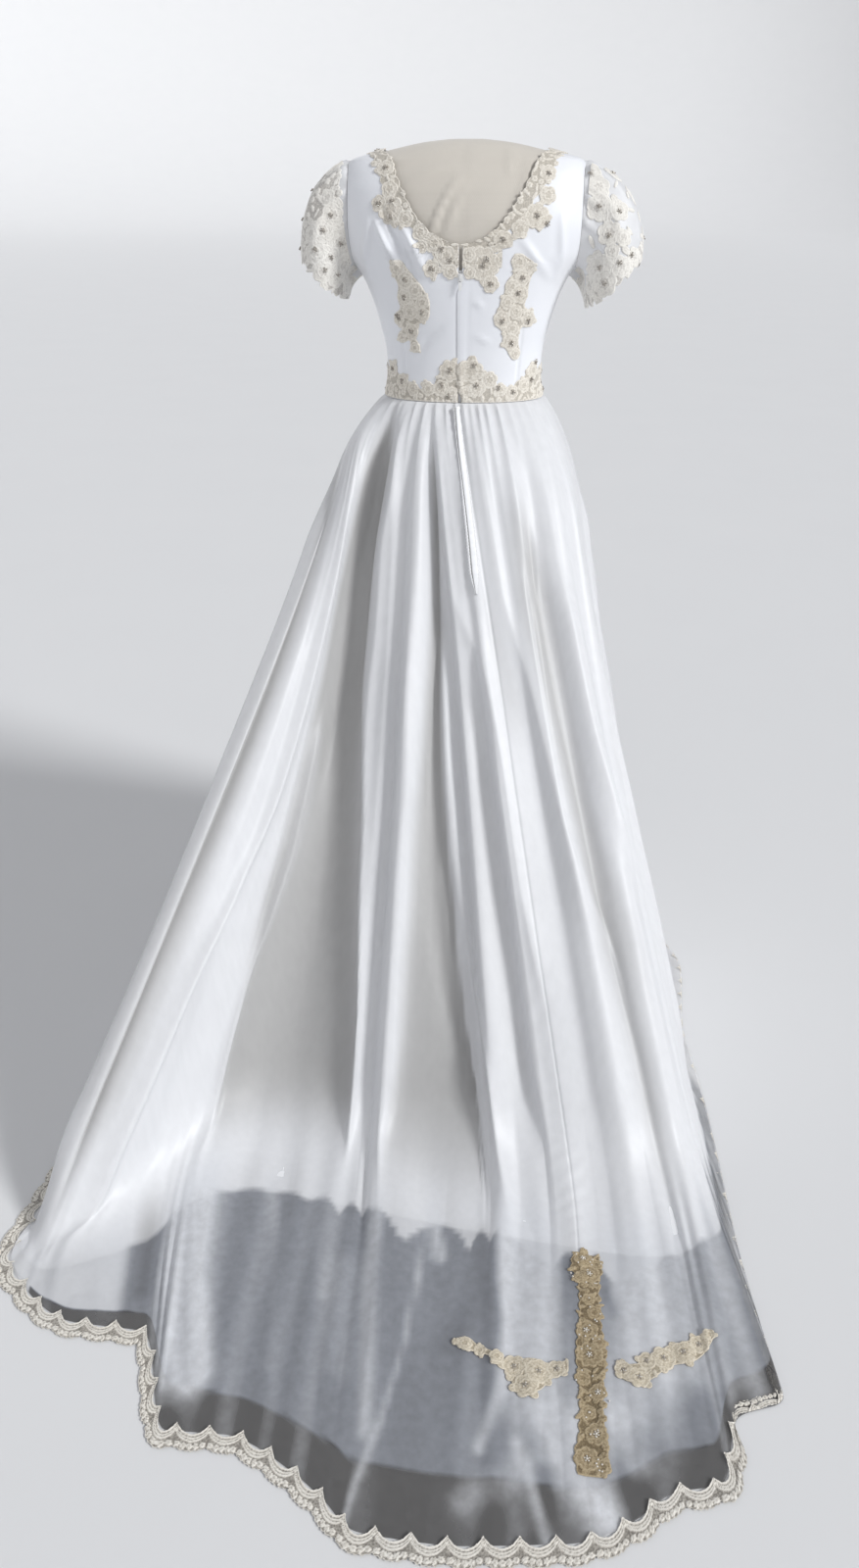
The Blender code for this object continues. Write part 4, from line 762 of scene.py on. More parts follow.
SMOKE_BEAD = paint("smoke_bead", (0.25, 0.23, 0.21), 0.2,
                   grained((0.25, 0.225, 0.195), (0.46, 0.42, 0.37), 260.0, 0.00005),
                   Coat_Weight=0.8)


# ---------------------------------------------------------------- skirt
# Creases beside the main folds: (place between folds, share of the fall) along each, its half
# width and its height, in metres; a trough has a negative height.
CREASES = [
    ([(3.5, 0.03), (4.0, 0.12), (4.0, 0.26), (4.05, 0.39), (3.98, 0.51), (3.5, 0.63), (2.95, 0.73),
      (2.77, 0.84), (2.67, 0.93), (2.9, 1.05)], 0.017, 0.012),
    ([(5.3, 0.40), (5.3, 0.60), (5.13, 0.69), (4.85, 0.78), (4.77, 0.86), (4.88, 0.96), (4.9, 1.07),
      (5.04, 1.22), (5.4, 1.36)], 0.009, 0.008),
    ([(5.6, 0.02), (5.62, 0.12), (5.52, 0.26), (5.68, 0.40), (5.7, 0.56)], 0.012, -0.009),
    ([(6.9, 0.02), (6.9, 0.09), (6.45, 0.20), (6.47, 0.31), (6.43, 0.39), (6.53, 0.52),
      (6.72, 0.65), (6.93, 0.78), (7.10, 0.91), (7.03, 1.08)], 0.009, 0.009),
    ([(9.5, 0.02), (9.42, 0.11), (9.23, 0.25), (9.12, 0.38), (9.18, 0.51), (9.12, 0.64),
      (9.11, 0.77), (9.08, 0.89), (9.02, 1.03), (9.07, 1.20), (8.97, 1.33), (8.83, 1.44)],
     0.012, 0.009),
    ([(9.78, 0.04), (9.62, 0.38), (9.52, 0.51), (9.52, 0.64), (9.62, 0.77), (9.85, 0.89),
      (10.27, 1.02), (10.47, 1.15)], 0.006, -0.006),
    ([(9.76, 0.30), (9.72, 0.43), (9.80, 0.55), (9.88, 0.64), (10.1, 0.77), (10.8, 0.88),
      (11.07, 1.01), (11.42, 1.15)], 0.007, 0.006),
    ([(10.6, 0.32), (11.37, 0.42), (11.52, 0.50), (11.48, 0.63), (11.58, 0.76), (11.77, 0.84),
      (12.12, 0.96)], 0.012, -0.0018),
    ([(11.5, 0.02), (11.0, 0.11), (11.0, 0.24), (12.0, 0.31), (13.0, 0.37), (13.4, 0.50),
      (13.4, 0.62), (13.6, 0.68), (13.9, 0.80)], 0.015, 0.0055),
    ([(14.7, 0.05), (14.7, 0.24), (15.3, 0.37), (15.7, 0.49), (16.0, 0.62), (16.2, 0.72)],
     0.016, 0.0065),
    ([(16.4, 0.12), (16.35, 0.37), (16.6, 0.54), (16.75, 0.66), (17.0, 0.75), (17.3, 0.87),
      (17.3, 0.95), (17.35, 1.08), (17.7, 1.20)], 0.013, -0.006),
    ([(17.7, 0.20), (17.8, 0.41), (18.3, 0.54), (19.2, 0.68)], 0.013, 0.008),
    ([(1.1, 0.10), (1.3, 0.40), (1.5, 0.70), (1.3, 0.98)], 0.014, 0.008),
    ([(2.1, 0.08), (2.3, 0.35), (2.0, 0.70), (1.9, 1.00)], 0.012, -0.007),
    ([(19.2, 0.06), (19.4, 0.30), (19.8, 0.60), (20.1, 0.95)], 0.012, 0.006),
    ([(20.3, 0.10), (20.5, 0.50), (20.6, 0.90)], 0.011, -0.006),
    ([(12.6, 0.40), (12.7, 0.60), (12.5, 0.80), (12.9, 0.98)], 0.008, 0.005),
]
CREASE_DEPTH = 1.45
# Broad hollows, which lie in the shade of the fold beside them and also get painted shade: (first
# place, last place, share of the fall) along each, its depth and how softly its first and last side
# go in, in metres.
HOLLOWS = [
    ([(4.55, 6.42, 0.04), (4.60, 6.15, 0.15), (4.72, 6.08, 0.22), (4.80, 6.13, 0.31),
      (4.90, 6.22, 0.40), (4.90, 6.42, 0.48), (4.92, 6.62, 0.58), (4.80, 6.73, 0.68),
      (4.78, 6.88, 0.77), (4.80, 7.00, 0.85), (4.85, 7.00, 0.94), (4.97, 7.03, 1.05)],
     0.012, 0.034, 0.006),
    ([(9.70, 10.22, 0.03), (9.64, 9.92, 0.15), (9.58, 9.74, 0.26), (9.42, 9.68, 0.40),
      (9.37, 9.68, 0.47), (9.28, 9.70, 0.58), (9.27, 9.75, 0.67), (9.23, 9.79, 0.76),
      (9.22, 9.85, 0.84), (9.17, 9.95, 0.92), (9.08, 10.16, 1.02), (9.02, 10.47, 1.12)],
     0.011, 0.016, 0.005),
    ([(14.10, 16.50, 0.10), (13.90, 16.60, 0.19), (13.60, 16.15, 0.29), (13.70, 15.95, 0.40),
      (13.68, 15.90, 0.50)], 0.0032, 0.024, 0.012),
    ([(15.90, 17.10, 0.20), (15.86, 17.30, 0.33), (15.88, 17.20, 0.52), (16.37, 17.60, 0.62),
      (17.08, 18.10, 0.72), (17.27, 18.20, 0.82)], 0.0042, 0.008, 0.030),
    ([(0.30, 2.70, 0.06), (0.40, 2.60, 0.40), (0.60, 2.60, 0.70), (0.60, 2.50, 0.95)],
     0.006, 0.030, 0.030),
    ([(22.6, 24.3, 0.05), (22.7, 24.4, 0.45), (22.5, 24.6, 0.97)], 0.010, 0.006, 0.034),
    ([(27.2, 28.0, 0.04), (27.3, 28.1, 0.45), (27.0, 28.5, 0.97)], 0.010, 0.030, 0.007),
    ([(30.4, 32.2, 0.06), (30.6, 32.3, 0.45), (30.5, 32.7, 0.97)], 0.011, 0.034, 0.008),
    ([(33.9, 34.8, 0.04), (34.0, 34.7, 0.45), (33.8, 35.1, 0.97)], 0.009, 0.008, 0.026),
]
FRONT_CREASES = (21.2, 35.8, 0.62)      # first and last place and mean step of the seeded ones


def front_creases():
    """The creases of the front, which no view records: like the back's, seeded."""
    first, last, step = FRONT_CREASES
    made, place, sign = [], first, 1
    while place < last:
        start, end = random.uniform(0.02, 0.16), random.uniform(0.62, 0.98)
        shares = np.linspace(start, end, 4)
        drift = random.normal(0, 0.22, 4).cumsum()
        places = place + drift - drift.mean()
        made.append((list(zip(places, shares)), random.uniform(0.007, 0.014),
                     sign * random.uniform(0.004, 0.009)))
        place += step * random.uniform(0.7, 1.35)
        sign = -sign
    return made


def waist_gathers():
    """Fine ridges from the waist seam down, uneven and strongest at the centre back: for each its
    place, half width, height and reach."""
    places = np.linspace(0, len(FOLDS), 3601)
    along = way_along(skirt_lengths(places)[0])
    at, made = 0.003, []
    while at < along[-1] - 0.004:
        place = np.interp(at, along, places)
        turn = waist_turn(np.array([place]))[0]
        back = math.exp(-((turn - 4) / 38) ** 2) + 0.55 * math.exp(-((turn + 180) / 60) ** 2)
        made.append((place, random.uniform(*GATHER_HALF),
                     (0.30 + 1.05 * back) * random.uniform(*GATHER_HEIGHT),
                     random.uniform(*GATHER_REACH)))
        at += random.uniform(*GATHER_STEP)
    return np.array(made)


def ring_away(place, centre):
    """How far place lies past centre, the short way round the ring."""
    lap = len(FOLDS)
    return (place - centre + lap / 2) % lap - lap / 2


def crease_height(place, share, pitch, creases):
    total = np.zeros(share.shape)
    for points, width, height in creases:
        places, shares = np.array(points).T
        away = ring_away(place, curve(shares, places, share)) * pitch
        start = np.where(shares[0] < 0.06, smooth_step(share / 0.06 + 0.1),
                         smooth_step((share - shares[0]) / 0.10))
        end = smooth_step((shares[-1] - share) / 0.12)
        total += (CREASE_DEPTH * height * start * end
                  * np.exp(-np.abs(away / (1.15 * width)) ** 1.5))
    return total


def hollow_shape(place, share, pitch):
    """The depth of the hollows, and the painted shade each point gets by how far inside one it
    lies and how deep that is, from 0 to 1.
    """
    total, shade = np.zeros(share.shape), np.zeros(share.shape)
    for points, depth, soft_first, soft_last in HOLLOWS:
        first, last, shares = np.array(points).T
        inner = ring_away(place, curve(shares, first, share)) * pitch
        outer = -ring_away(place, curve(shares, last, share)) * pitch
        ends = smooth_step((share - shares[0]) / 0.08 + 0.2) * smooth_step(
            (shares[-1] - share) / 0.12)
        inside = (smooth_step(inner / soft_first + 0.5) * smooth_step(outer / soft_last + 0.5)
                  * ends)
        total -= depth * inside * smooth_step(share / 0.25 + 0.15)
        shade = np.maximum(shade, inside * min(depth / 0.011, 1.0))
    return total, shade


def gather_height(place, length, pitch, gathers):
    rows = np.where((length < 0.45).any(1))[0]
    total = np.zeros(length.shape)
    near = slice(rows[0], rows[-1] + 1)
    for centre, width, height, reach in gathers:
        away = ring_away(place, centre) * pitch[near]
        spread = width * (1 + length[near] / 0.13)
        total[near] += (height * np.exp(-np.abs(away / spread) ** 1.6)
                        * np.exp(-length[near] / reach)
                        * smooth_step(length[near] / 0.006 + 0.25))
    return total


def even_places():
    """For steps of a tenth of a place, how far round the hem they lie, in mean places."""
    places = np.arange(0, len(FOLDS) + 0.05, 0.1)
    along = way_along(skirt_base(places, np.array([(1, 1, 1)], float))[0][0])
    return places, along * len(FOLDS) / along[-1]


EVEN = even_places()


def streaks(place, share, seed):
    """Soft uneven waves that run down the cloth, from -1 to 1."""
    waves = np.random.default_rng(seed)
    place = np.interp(place, *EVEN)
    total = np.zeros(np.broadcast_shapes(place.shape, share.shape))
    lap = len(FOLDS)
    for _ in range(9):
        turns = waves.integers(lap, lap * 3)
        phase, drift = waves.uniform(0, 6.28), waves.uniform(-2.5, 2.5)
        slow = waves.uniform(1.5, 4.0)
        total += np.sin(2 * math.pi * place * turns / lap + phase + drift * share
                        + 0.8 * np.sin(slow * share + phase * 2))
    return total / 9 ** 0.5 / 1.5


def seam_puckers(away, length, share):
    """Short ripples across the centre back seam where it lies slack near the floor."""
    slack = smooth_step((share - 0.62) / 0.2) * smooth_step((1.22 - share) / 0.12)
    wander = 0.35 * np.sin(length * 23) + 0.5 * np.sin(length * 9.1 + 1)
    slanted = length / 0.031 + away / 0.05 + wander
    side = np.exp(-((away - 0.006 * np.sign(wander)) / 0.026) ** 2)
    return 0.0012 * slack * side * np.sin(2 * math.pi * slanted)


def skirt_layer(columns, down, lining, creases, gathers=()):
    """Middle points of one skirt layer with its outward directions, the length down it, and the
    painted shade of each point in the hollows and troughs. The lining lies inside the organza."""
    down = np.array(down, float)
    plan, height, length = skirt_base(columns, down)
    nudge = 0.8
    ahead = skirt_base(columns + nudge, down)[0]
    behind = skirt_base(columns - nudge, down)[0]
    pitch = np.linalg.norm(ahead - behind, axis=-1) / (2 * nudge)
    fall, floor, bend = skirt_lengths(columns)[3:6]
    share = length / fall
    lying = smooth_step((length - fall + bend) / (2 * bend))
    direction = unit(turned_out(ahead - behind) * (1 - lying[..., None])
                     + np.array((0, 0, 1.0)) * lying[..., None])
    hips = length / HIP_DROP
    flare = HIP_FLARE * hips * np.exp(1 - hips) * (1 - lying)
    floor_share = np.clip((length - fall) / floor, 0, 1)
    level = FLOOR_LEVEL * lying * (1 - smooth_step((floor_share - 0.92) / 0.08))
    points = np.concatenate([plan, (height + level)[..., None]], -1)
    points = points + turned_out(ahead[0] - behind[0]) * flare[..., None]

    creased = crease_height(columns, share, pitch, creases) * (1 - 0.75 * lying)
    hollow, shade = hollow_shape(columns, share, pitch)
    folds = skirt_fold_height(columns, length) + creased + hollow * (1 - lying)
    # Painted shade: the troughs of the creases add to the hollows' shade and their ridges take some
    # away.
    shade = np.clip(shade + np.clip(-creased / 0.016, -0.35, 0.6), 0, 1)
    if lining:
        hanging = LINING_GAP_TOP + (LINING_GAP - LINING_GAP_TOP) * smooth_step(length / 0.10)
        gap = hanging + (SEAM_GAP - hanging) * lying
        folds = folds * np.where(folds < 0, 1.0, LINING_FOLDS) * (1 - lying)
        lowest, inward = 0.0003, gap + SKIRT_WALL
    else:
        edge = smooth_step((1 - floor_share) / 0.12)
        fine = fine_relief(columns, length, share, lying, pitch, gathers)
        folds = folds * (0.3 + 0.7 * edge) + fine * edge
        lowest, inward = 0.0021 - 0.0015 * (1 - edge), 0.0
    middle = points + direction * (folds + SKIRT_WALL / 2 - inward)[..., None]
    middle[..., 2] = np.maximum(middle[..., 2], lowest)
    return middle, direction, length, shade * (1 - lying)


def fine_relief(columns, length, share, lying, pitch, gathers):
    """The organza's own unevenness, its waist gathers, and its puckered and sunk seams."""
    fine = 0.0009 * streaks(columns, share, 3) * smooth_step(share / 0.1)
    fine += 0.0030 * streaks(columns, share * 3.1, 5) * lying
    fine += gather_height(columns, length, pitch, gathers)
    fine += seam_puckers(ring_away(columns, CENTRE_FOLD) * pitch, length, share)
    for sewn in (0, CENTRE_FOLD, RIGHT_SEAM_FOLD):
        fine -= 0.0011 * np.exp(-(ring_away(columns, sewn) * pitch / 0.0022) ** 2)
    return fine


def skirt_rows(falls, bends, floors):
    return ([(f, 0, 0) for f in falls] + [(1, b, 0) for b in bends] + [(1, 1, g) for g in floors])


def spaced(first, last, step, seams=()):
    """Places from first to last, closer together by the seams."""
    found = set(np.round(np.linspace(first, last, round((last - first) / step) + 1), 4))
    for seam in seams:
        for k in range(1, 7):
            for side in (-1, 1):
                place = round(seam + side * 0.02 * k, 4)
                if first < place < last:
                    found.add(place)
    ordered = sorted(found)
    kept = [ordered[0]]
    for place in ordered[1:]:
        if place - kept[-1] > 0.012 or place == ordered[-1]:
            kept.append(place)
    return np.array(kept)


# Where the lining's hem drops in a fold: (place, how far in metres, half width in places).
HEM_TONGUES = [(9.35, 0.05, 0.16), (9.95, 0.035, 0.10), (10.6, 0.018, 0.16), (8.3, 0.02, 0.25),
               (7.1, 0.014, 0.2), (12.6, 0.05, 0.7), (15.2, 0.05, 0.9)]


def veil_of(columns, length):
    """0 over the lining, 0.5 over the underlay and 1 past both."""
    fall, floor, bend = skirt_lengths(columns)[3:6]
    lining_end = fall + bend
    share = curve(UNDERLAY_END[:, 0], UNDERLAY_END[:, 1], columns)
    underlay_end = fall + bend + share * (floor - bend)
    covered = (columns > 2) & (columns < RIGHT_SEAM_FOLD - 1)
    ragged = 0.006 * streaks(columns, length * 0, 31)
    for place, reach, wide in HEM_TONGUES:
        ragged = ragged + reach * np.exp(-np.abs(ring_away(columns, place) / wide) ** 1.4)
    first = smooth_step((length - lining_end - ragged) / 0.012 + 0.5)
    second = smooth_step((length - underlay_end) / 0.005 + 0.5)
    first = first + (second - first) * smooth_step((3.78 - columns) / 0.25) * (columns > 2)
    deep = np.where(covered, 0.5 * first + 0.5 * second, 0.75 * first)
    deep = deep * (1 - 0.5 * smooth_step((columns - 18.6) / 1.0))
    return deep * (floor > 0.07)


# Where the sheer layer of the train is doubled or lies free of the cloth below, so that it looks
# lighter, or is drawn tight over the dark, together with painted sheen on its wrinkles and painted
# shadow beside its folds: (x, y) along each, half width and strength.
TRAIN_LIGHTS = [
    ([(0.330, 0.69), (0.326, 0.797), (0.305, 0.944), (0.270, 1.043), (0.256, 1.080)], 0.029, 1.70),
    ([(0.055, 0.771), (0.05, 0.92), (0.039, 1.021), (0.025, 1.141)], 0.009, 0.55),
    ([(0.085, 0.90), (0.08, 0.992), (0.073, 1.057)], 0.018, 0.25),
    ([(-0.019, 0.856), (-0.008, 1.025), (0.007, 1.125), (0.028, 1.209), (0.033, 1.254)],
     0.005, 0.50),
    ([(-0.122, 0.69), (-0.134, 0.902), (-0.147, 0.97), (-0.137, 1.067), (-0.115, 1.148)],
     0.011, 0.75),
    ([(-0.172, 0.69), (-0.180, 0.897), (-0.180, 1.0), (-0.185, 1.092)], 0.040, 0.95),
    ([(-0.16, 1.136), (-0.18, 1.194), (-0.2, 1.26)], 0.007, 0.60),
    ([(-0.300, 0.69), (-0.308, 0.954), (-0.290, 1.080)], 0.042, 0.95),
    ([(-0.362, 0.69), (-0.366, 0.90), (-0.372, 1.02)], 0.034, 0.75),
    ([(-0.420, 0.66), (-0.436, 0.90), (-0.430, 1.02)], 0.030, 0.45),
    ([(-0.215, 1.120), (-0.232, 1.170), (-0.262, 1.215)], 0.024, 0.95),
    ([(-0.10, 1.215), (-0.19, 1.150), (-0.26, 1.135)], 0.018, 0.35),
    ([(-0.285, 1.100), (-0.300, 1.150)], 0.016, 0.60),
    ([(0.448, 0.842), (0.398, 0.954)], 0.030, 0.35),
    ([(0.225, 0.76), (0.194, 0.857), (0.17, 1.001), (0.163, 1.066)], 0.014, 0.22),
    ([(0.130, 0.74), (0.125, 0.86), (0.11, 0.95)], 0.012, 0.25),
    ([(-0.025, 0.70), (-0.028, 0.80), (-0.044, 0.872)], 0.012, 0.85),
    ([(0.401, 0.762), (0.377, 0.875), (0.36, 0.968)], 0.020, -0.60),
    ([(-0.095, 0.829), (-0.102, 0.94), (-0.064, 1.011)], 0.021, -0.35),
    ([(-0.052, 1.052), (-0.028, 1.107)], 0.049, -0.14),
    ([(-0.278, 0.859), (-0.273, 0.909), (-0.285, 0.94)], 0.008, -0.35),
    ([(-0.218, 0.86), (-0.216, 0.98), (-0.222, 1.10)], 0.010, -0.25),
]


def train_light(points, columns, length):
    """How much lighter or darker the sheer layer looks on the floor, from -1 to 1: doubled layers
    and painted sheen and shadow.
    """
    fall, _, bend = skirt_lengths(columns)[3:6]
    x, y = points[..., 0], points[..., 1]
    total = np.zeros(length.shape)
    for path, width, strength in TRAIN_LIGHTS:
        wide = width * (1 + 0.25 * np.sin(9 * y + 40 * x + 7 * strength))
        total += strength * np.exp(-(from_line(x, y, path)[0] / wide) ** 2)
    rough = streaks(columns, length * 2.3, 17) * 0.13 + streaks(columns, length * 0.7, 23) * 0.13
    return np.clip(total + rough, -1, 1) * smooth_step((length - fall) / bend)


def build_skirt():
    """The organza panels, the lining and the underlay. It gives the two back panels as one grid
    of points, with the place of each column."""
    creases = CREASES + front_creases()
    gathers = waist_gathers()
    bends, floors = np.linspace(0, 1, 30)[1:], np.linspace(0, 1, 66)[1:]
    back = skirt_rows(FALL_SHARES, bends, floors)
    front = skirt_rows(FALL_SHARES, bends[::3], (0.5, 1.0))
    layers = []
    for name, first, last, step, down in (("back_left", 0, CENTRE_FOLD, 0.06, back),
                                          ("back_right", CENTRE_FOLD, RIGHT_SEAM_FOLD, 0.05, back),
                                          ("front", RIGHT_SEAM_FOLD, len(FOLDS), 0.08, front)):
        columns = spaced(first, last, step, (first, last))
        points, out, length, shade = skirt_layer(columns, down, False, creases, gathers)
        grid_piece("organza_" + name, points, out, ORGANZA, "organza", ["skirt_" + name],
                   veil=veil_of(columns, length), shade=shade,
                   light=train_light(points, columns, length))
        layers.append((points, columns))
    lining = {}
    for name, first, last, bent in (("back", 0, RIGHT_SEAM_FOLD, np.linspace(0, 1, 12)[1:]),
                                    ("front", RIGHT_SEAM_FOLD, len(FOLDS), ())):
        columns = spaced(first, last, 0.10)
        down = skirt_rows(LINING_SHARES, bent, ())
        points, out, _, shade = skirt_layer(columns, down, True, creases)
        grid_piece("satin_lining_" + name, points, out, LINING, "satin", ["lining_" + name],
                   shade=shade)
        lining[name] = (columns, points[-1])
    build_underlay(*lining["back"])
    (left, left_columns), (right, right_columns) = layers[:2]
    return (np.concatenate([left, right[:, 1:]], 1),
            np.concatenate([left_columns, right_columns[1:]]))


def build_underlay(columns, edge):
    """The shorter inner layer of the train, from the lining's hem, flat on the floor."""
    inside = (columns >= UNDERLAY_SPAN[0]) & (columns <= UNDERLAY_SPAN[1])
    columns, edge = columns[inside], edge[inside]
    shares = curve(UNDERLAY_END[:, 0], UNDERLAY_END[:, 1], columns)
    low, high = skirt_base(columns, np.array([(1, 1, 0.7), (1, 1, 1)], float))[0]
    plan = low + (high - low) * (shares[:, None] - 0.7) / 0.3
    t = np.linspace(0, 1, 40)[:, None, None]
    start = edge[:, :2] + unit(plan - edge[:, :2]) * 0.001
    flat = start * (1 - t) + plan * t
    height = 0.0008 + 0.0002 * streaks(columns, t[..., 0] * 3, 11)
    grid = np.concatenate([flat, height[..., None]], -1)
    up = np.broadcast_to(np.array((0, 0, 1.0)), grid.shape)
    grid_piece("taffeta_underlay", grid, up, UNDERLAY, "organza", ["train_underlay"])


# ---------------------------------------------------------------- bodice and form
# Soft creases of the bodice's back, seen from behind: (x, z) along each, half width and height.
BACK_CREASES = [
    ([(0.132, 1.300), (0.115, 1.270), (0.098, 1.240)], 0.0045, 0.0038),
    ([(0.120, 1.318), (0.103, 1.282), (0.086, 1.248)], 0.0040, -0.0032),
    ([(0.088, 1.292), (0.070, 1.262), (0.055, 1.232)], 0.0050, 0.0036),
    ([(0.098, 1.285), (0.082, 1.255), (0.068, 1.225)], 0.0040, -0.0030),
    ([(-0.022, 1.192), (-0.034, 1.184)], 0.0035, 0.0014),
    ([(-0.025, 1.140), (-0.046, 1.132)], 0.0040, 0.0012),
    ([(0.030, 1.150), (0.052, 1.135), (0.070, 1.110)], 0.0060, -0.0016),
    ([(-0.090, 1.280), (-0.115, 1.250), (-0.135, 1.225)], 0.0060, 0.0018),
    ([(0.145, 1.300), (0.150, 1.260), (0.146, 1.225)], 0.0060, 0.0024),
    ([(-0.150, 1.310), (-0.152, 1.260), (-0.145, 1.225)], 0.0060, 0.0020),
    ([(0.088, 1.055), (0.092, 1.110), (0.098, 1.170)], 0.0022, -0.0010),
    ([(-0.088, 1.055), (-0.092, 1.110), (-0.098, 1.170)], 0.0022, -0.0010),
]
FRONT_BODICE_CREASES = [
    ([(0.070, 1.050), (0.078, 1.110), (0.090, 1.190)], 0.0022, -0.0010),
    ([(-0.070, 1.050), (-0.078, 1.110), (-0.090, 1.190)], 0.0022, -0.0010),
    ([(0.130, 1.290), (0.110, 1.260), (0.085, 1.240)], 0.0060, 0.0022),
    ([(-0.128, 1.295), (-0.112, 1.262), (-0.090, 1.236)], 0.0060, 0.0020),
    ([(0.040, 1.120), (0.060, 1.090), (0.085, 1.070)], 0.0060, 0.0014),
    ([(-0.035, 1.130), (-0.058, 1.096), (-0.080, 1.080)], 0.0060, 0.0014),
    ([(0.100, 1.225), (0.120, 1.200), (0.135, 1.190)], 0.0050, -0.0015),
]
# Creases of the form's cover in the open neck.
COVER_CREASES = [
    ([(0.046, 1.285), (0.034, 1.318), (0.016, 1.350), (0.004, 1.366)], 0.0040, 0.0021),
    ([(0.036, 1.282), (0.024, 1.315), (0.008, 1.345)], 0.0045, -0.0012),
    ([(0.024, 1.290), (0.010, 1.330), (-0.004, 1.356)], 0.0050, 0.0012),
    ([(-0.068, 1.402), (-0.066, 1.380), (-0.070, 1.366)], 0.0035, 0.0016),
    ([(-0.076, 1.396), (-0.076, 1.378)], 0.0030, 0.0012),
    ([(-0.098, 1.385), (-0.090, 1.350), (-0.072, 1.310)], 0.0050, 0.0016),
    ([(0.080, 1.360), (0.050, 1.372), (0.020, 1.380)], 0.0080, 0.0010),
]


def near_lines(x, z, lines):
    """Height of creases given as lines in a plane, fading out along their ends."""
    total = np.zeros(x.shape)
    for line, width, height in lines:
        away, share = from_line(x, z, line)
        total += height * np.exp(-(away / width) ** 2) * np.sin(math.pi * (0.12 + 0.76 * share))
    return total


def body_flat():
    """The bodice's surface laid out: for each height and turn, the way round from the centre line
    at that height, and the way up from the waist at that turn."""
    turns, heights = np.linspace(0, 180, 181), np.linspace(WAIST - 0.01, 1.405, 190)
    points = cloth_point(turns[None, :], heights[:, None], BODICE_WALL)
    round_it, up = np.zeros(points.shape[:2]), np.zeros(points.shape[:2])
    round_it[:, 1:] = np.linalg.norm(np.diff(points, axis=1), axis=-1).cumsum(1)
    up[1:] = np.linalg.norm(np.diff(points, axis=0), axis=-1).cumsum(0)
    return heights, np.stack([round_it, up], -1)


FLAT_HEIGHTS, FLAT = body_flat()


def flat_place(turn, height):
    """Where a point of the bodice lies when its surface is laid out."""
    row = np.interp(height, FLAT_HEIGHTS, np.arange(len(FLAT_HEIGHTS)))
    laid = sample(FLAT, row, np.abs(turn))
    laid[..., 0] *= np.sign(turn)
    return laid


def bodice_outline(face):
    """The inner and outer edge of half a bodice: turns and heights for each row."""
    rows = np.linspace(0, BODICE_ROWS, BODICE_ROWS * BODICE_FINE + 1)
    bottom = WAIST + SEAM_GAP
    neck_bottom = NECK_BOTTOM_BACK if face == "back" else NECK_BOTTOM_FRONT
    below_neck, below_arm = rows <= NECK_ROW, rows <= ARM_ROW
    height_in = np.where(below_neck, bottom + (neck_bottom - bottom) * rows / NECK_ROW,
                         look_up(NECKLINE, NECKLINE_COLUMNS, face + "_height", rows))
    half_in = np.where(below_neck, ZIP_HALF if face == "back" else 0.0,
                       look_up(NECKLINE, NECKLINE_COLUMNS, face + "_half", rows))
    arm_share = np.clip((rows - ARM_ROW) / (BODICE_ROWS - ARM_ROW), 0, 1)
    arm_height = UNDERARM + (SHOULDER_TIP - UNDERARM) * (1 - (1 - arm_share) ** 1.5)
    height_out = np.where(below_arm, bottom + (UNDERARM - bottom) * rows / ARM_ROW, arm_height)
    seam_turn = 90 - np.degrees(SEAM_GAP / 2 / 0.09)
    arm_turn = turn_at(look_up(ARMHOLE, ARMHOLE_COLUMNS, "half", arm_height), height_out)
    turn_out = np.where(below_arm, seam_turn, arm_turn)
    turn_in = turn_at(half_in, height_in)
    turn_in[-1] = turn_out[-1] = seam_turn
    return turn_in, turn_out, height_in, height_out


def lapped(points, side, columns):
    """Beside the zip: how far the points of the back move across and how high they stand. The
    right edge laps over the zip, below its slider."""
    height = points[..., 2]
    edge = np.abs(points[..., 0]) - ZIP_HALF
    low = smooth_step((LAP_TOP - height) / 0.02) * smooth_step((height - WAIST - 0.004) / 0.02)
    reach = np.exp(-(edge / 0.010) ** 2) * low
    if side < 0:
        across = (2 * ZIP_HALF + LAP) * reach
        curled = smooth_step(np.arange(columns + 1) / 1.6)[None, :]
        rise = reach * (0.0006 + 0.0030 * curled)
        rise -= 0.0016 * np.exp(-((edge - 0.0095) / 0.0030) ** 2) * low
    else:
        across = 0 * reach
        rise = -0.0009 * np.exp(-(edge / 0.0040) ** 2) * low
    fold = 0.0012 * np.exp(-((edge - 0.0030) / 0.0026) ** 2) * (1 - low)
    return across, rise + fold * smooth_step((NECK_BOTTOM_BACK - height) / 0.01 + 0.5)


def bodice_grid(side, face, columns=64):
    """Points of half a bodice, outward directions and its flat layout; rows go up, columns go
    out to the side seam."""
    turn_in, turn_out, height_in, height_out = bodice_outline(face)
    share = np.linspace(0, 1, columns + 1)
    height = height_in[:, None] * (1 - share) + height_out[:, None] * share
    turn = turn_in[:, None] * (1 - share) + turn_out[:, None] * share
    turn = side * (180 - turn if face == "front" else turn)
    points = cloth_point(turn, height, BODICE_WALL)
    normal = normals_of(points)
    away = points * (1, 1, 0)
    normal = normal * np.where((normal * away).sum(-1, keepdims=True) < 0, -1, 1)
    lines = BACK_CREASES if face == "back" else FRONT_BODICE_CREASES
    rise = 1.8 * near_lines(points[..., 0], points[..., 2], lines)
    if face == "back":
        across, lap_rise = lapped(points, side, columns)
        points[..., 0] += across
        rise += lap_rise
    rise = rise * smooth_step((1 - share) / 0.06) * smooth_step((points[..., 2] - WAIST) / 0.012)
    return points + normal * rise[..., None], normal, flat_place(turn, height)


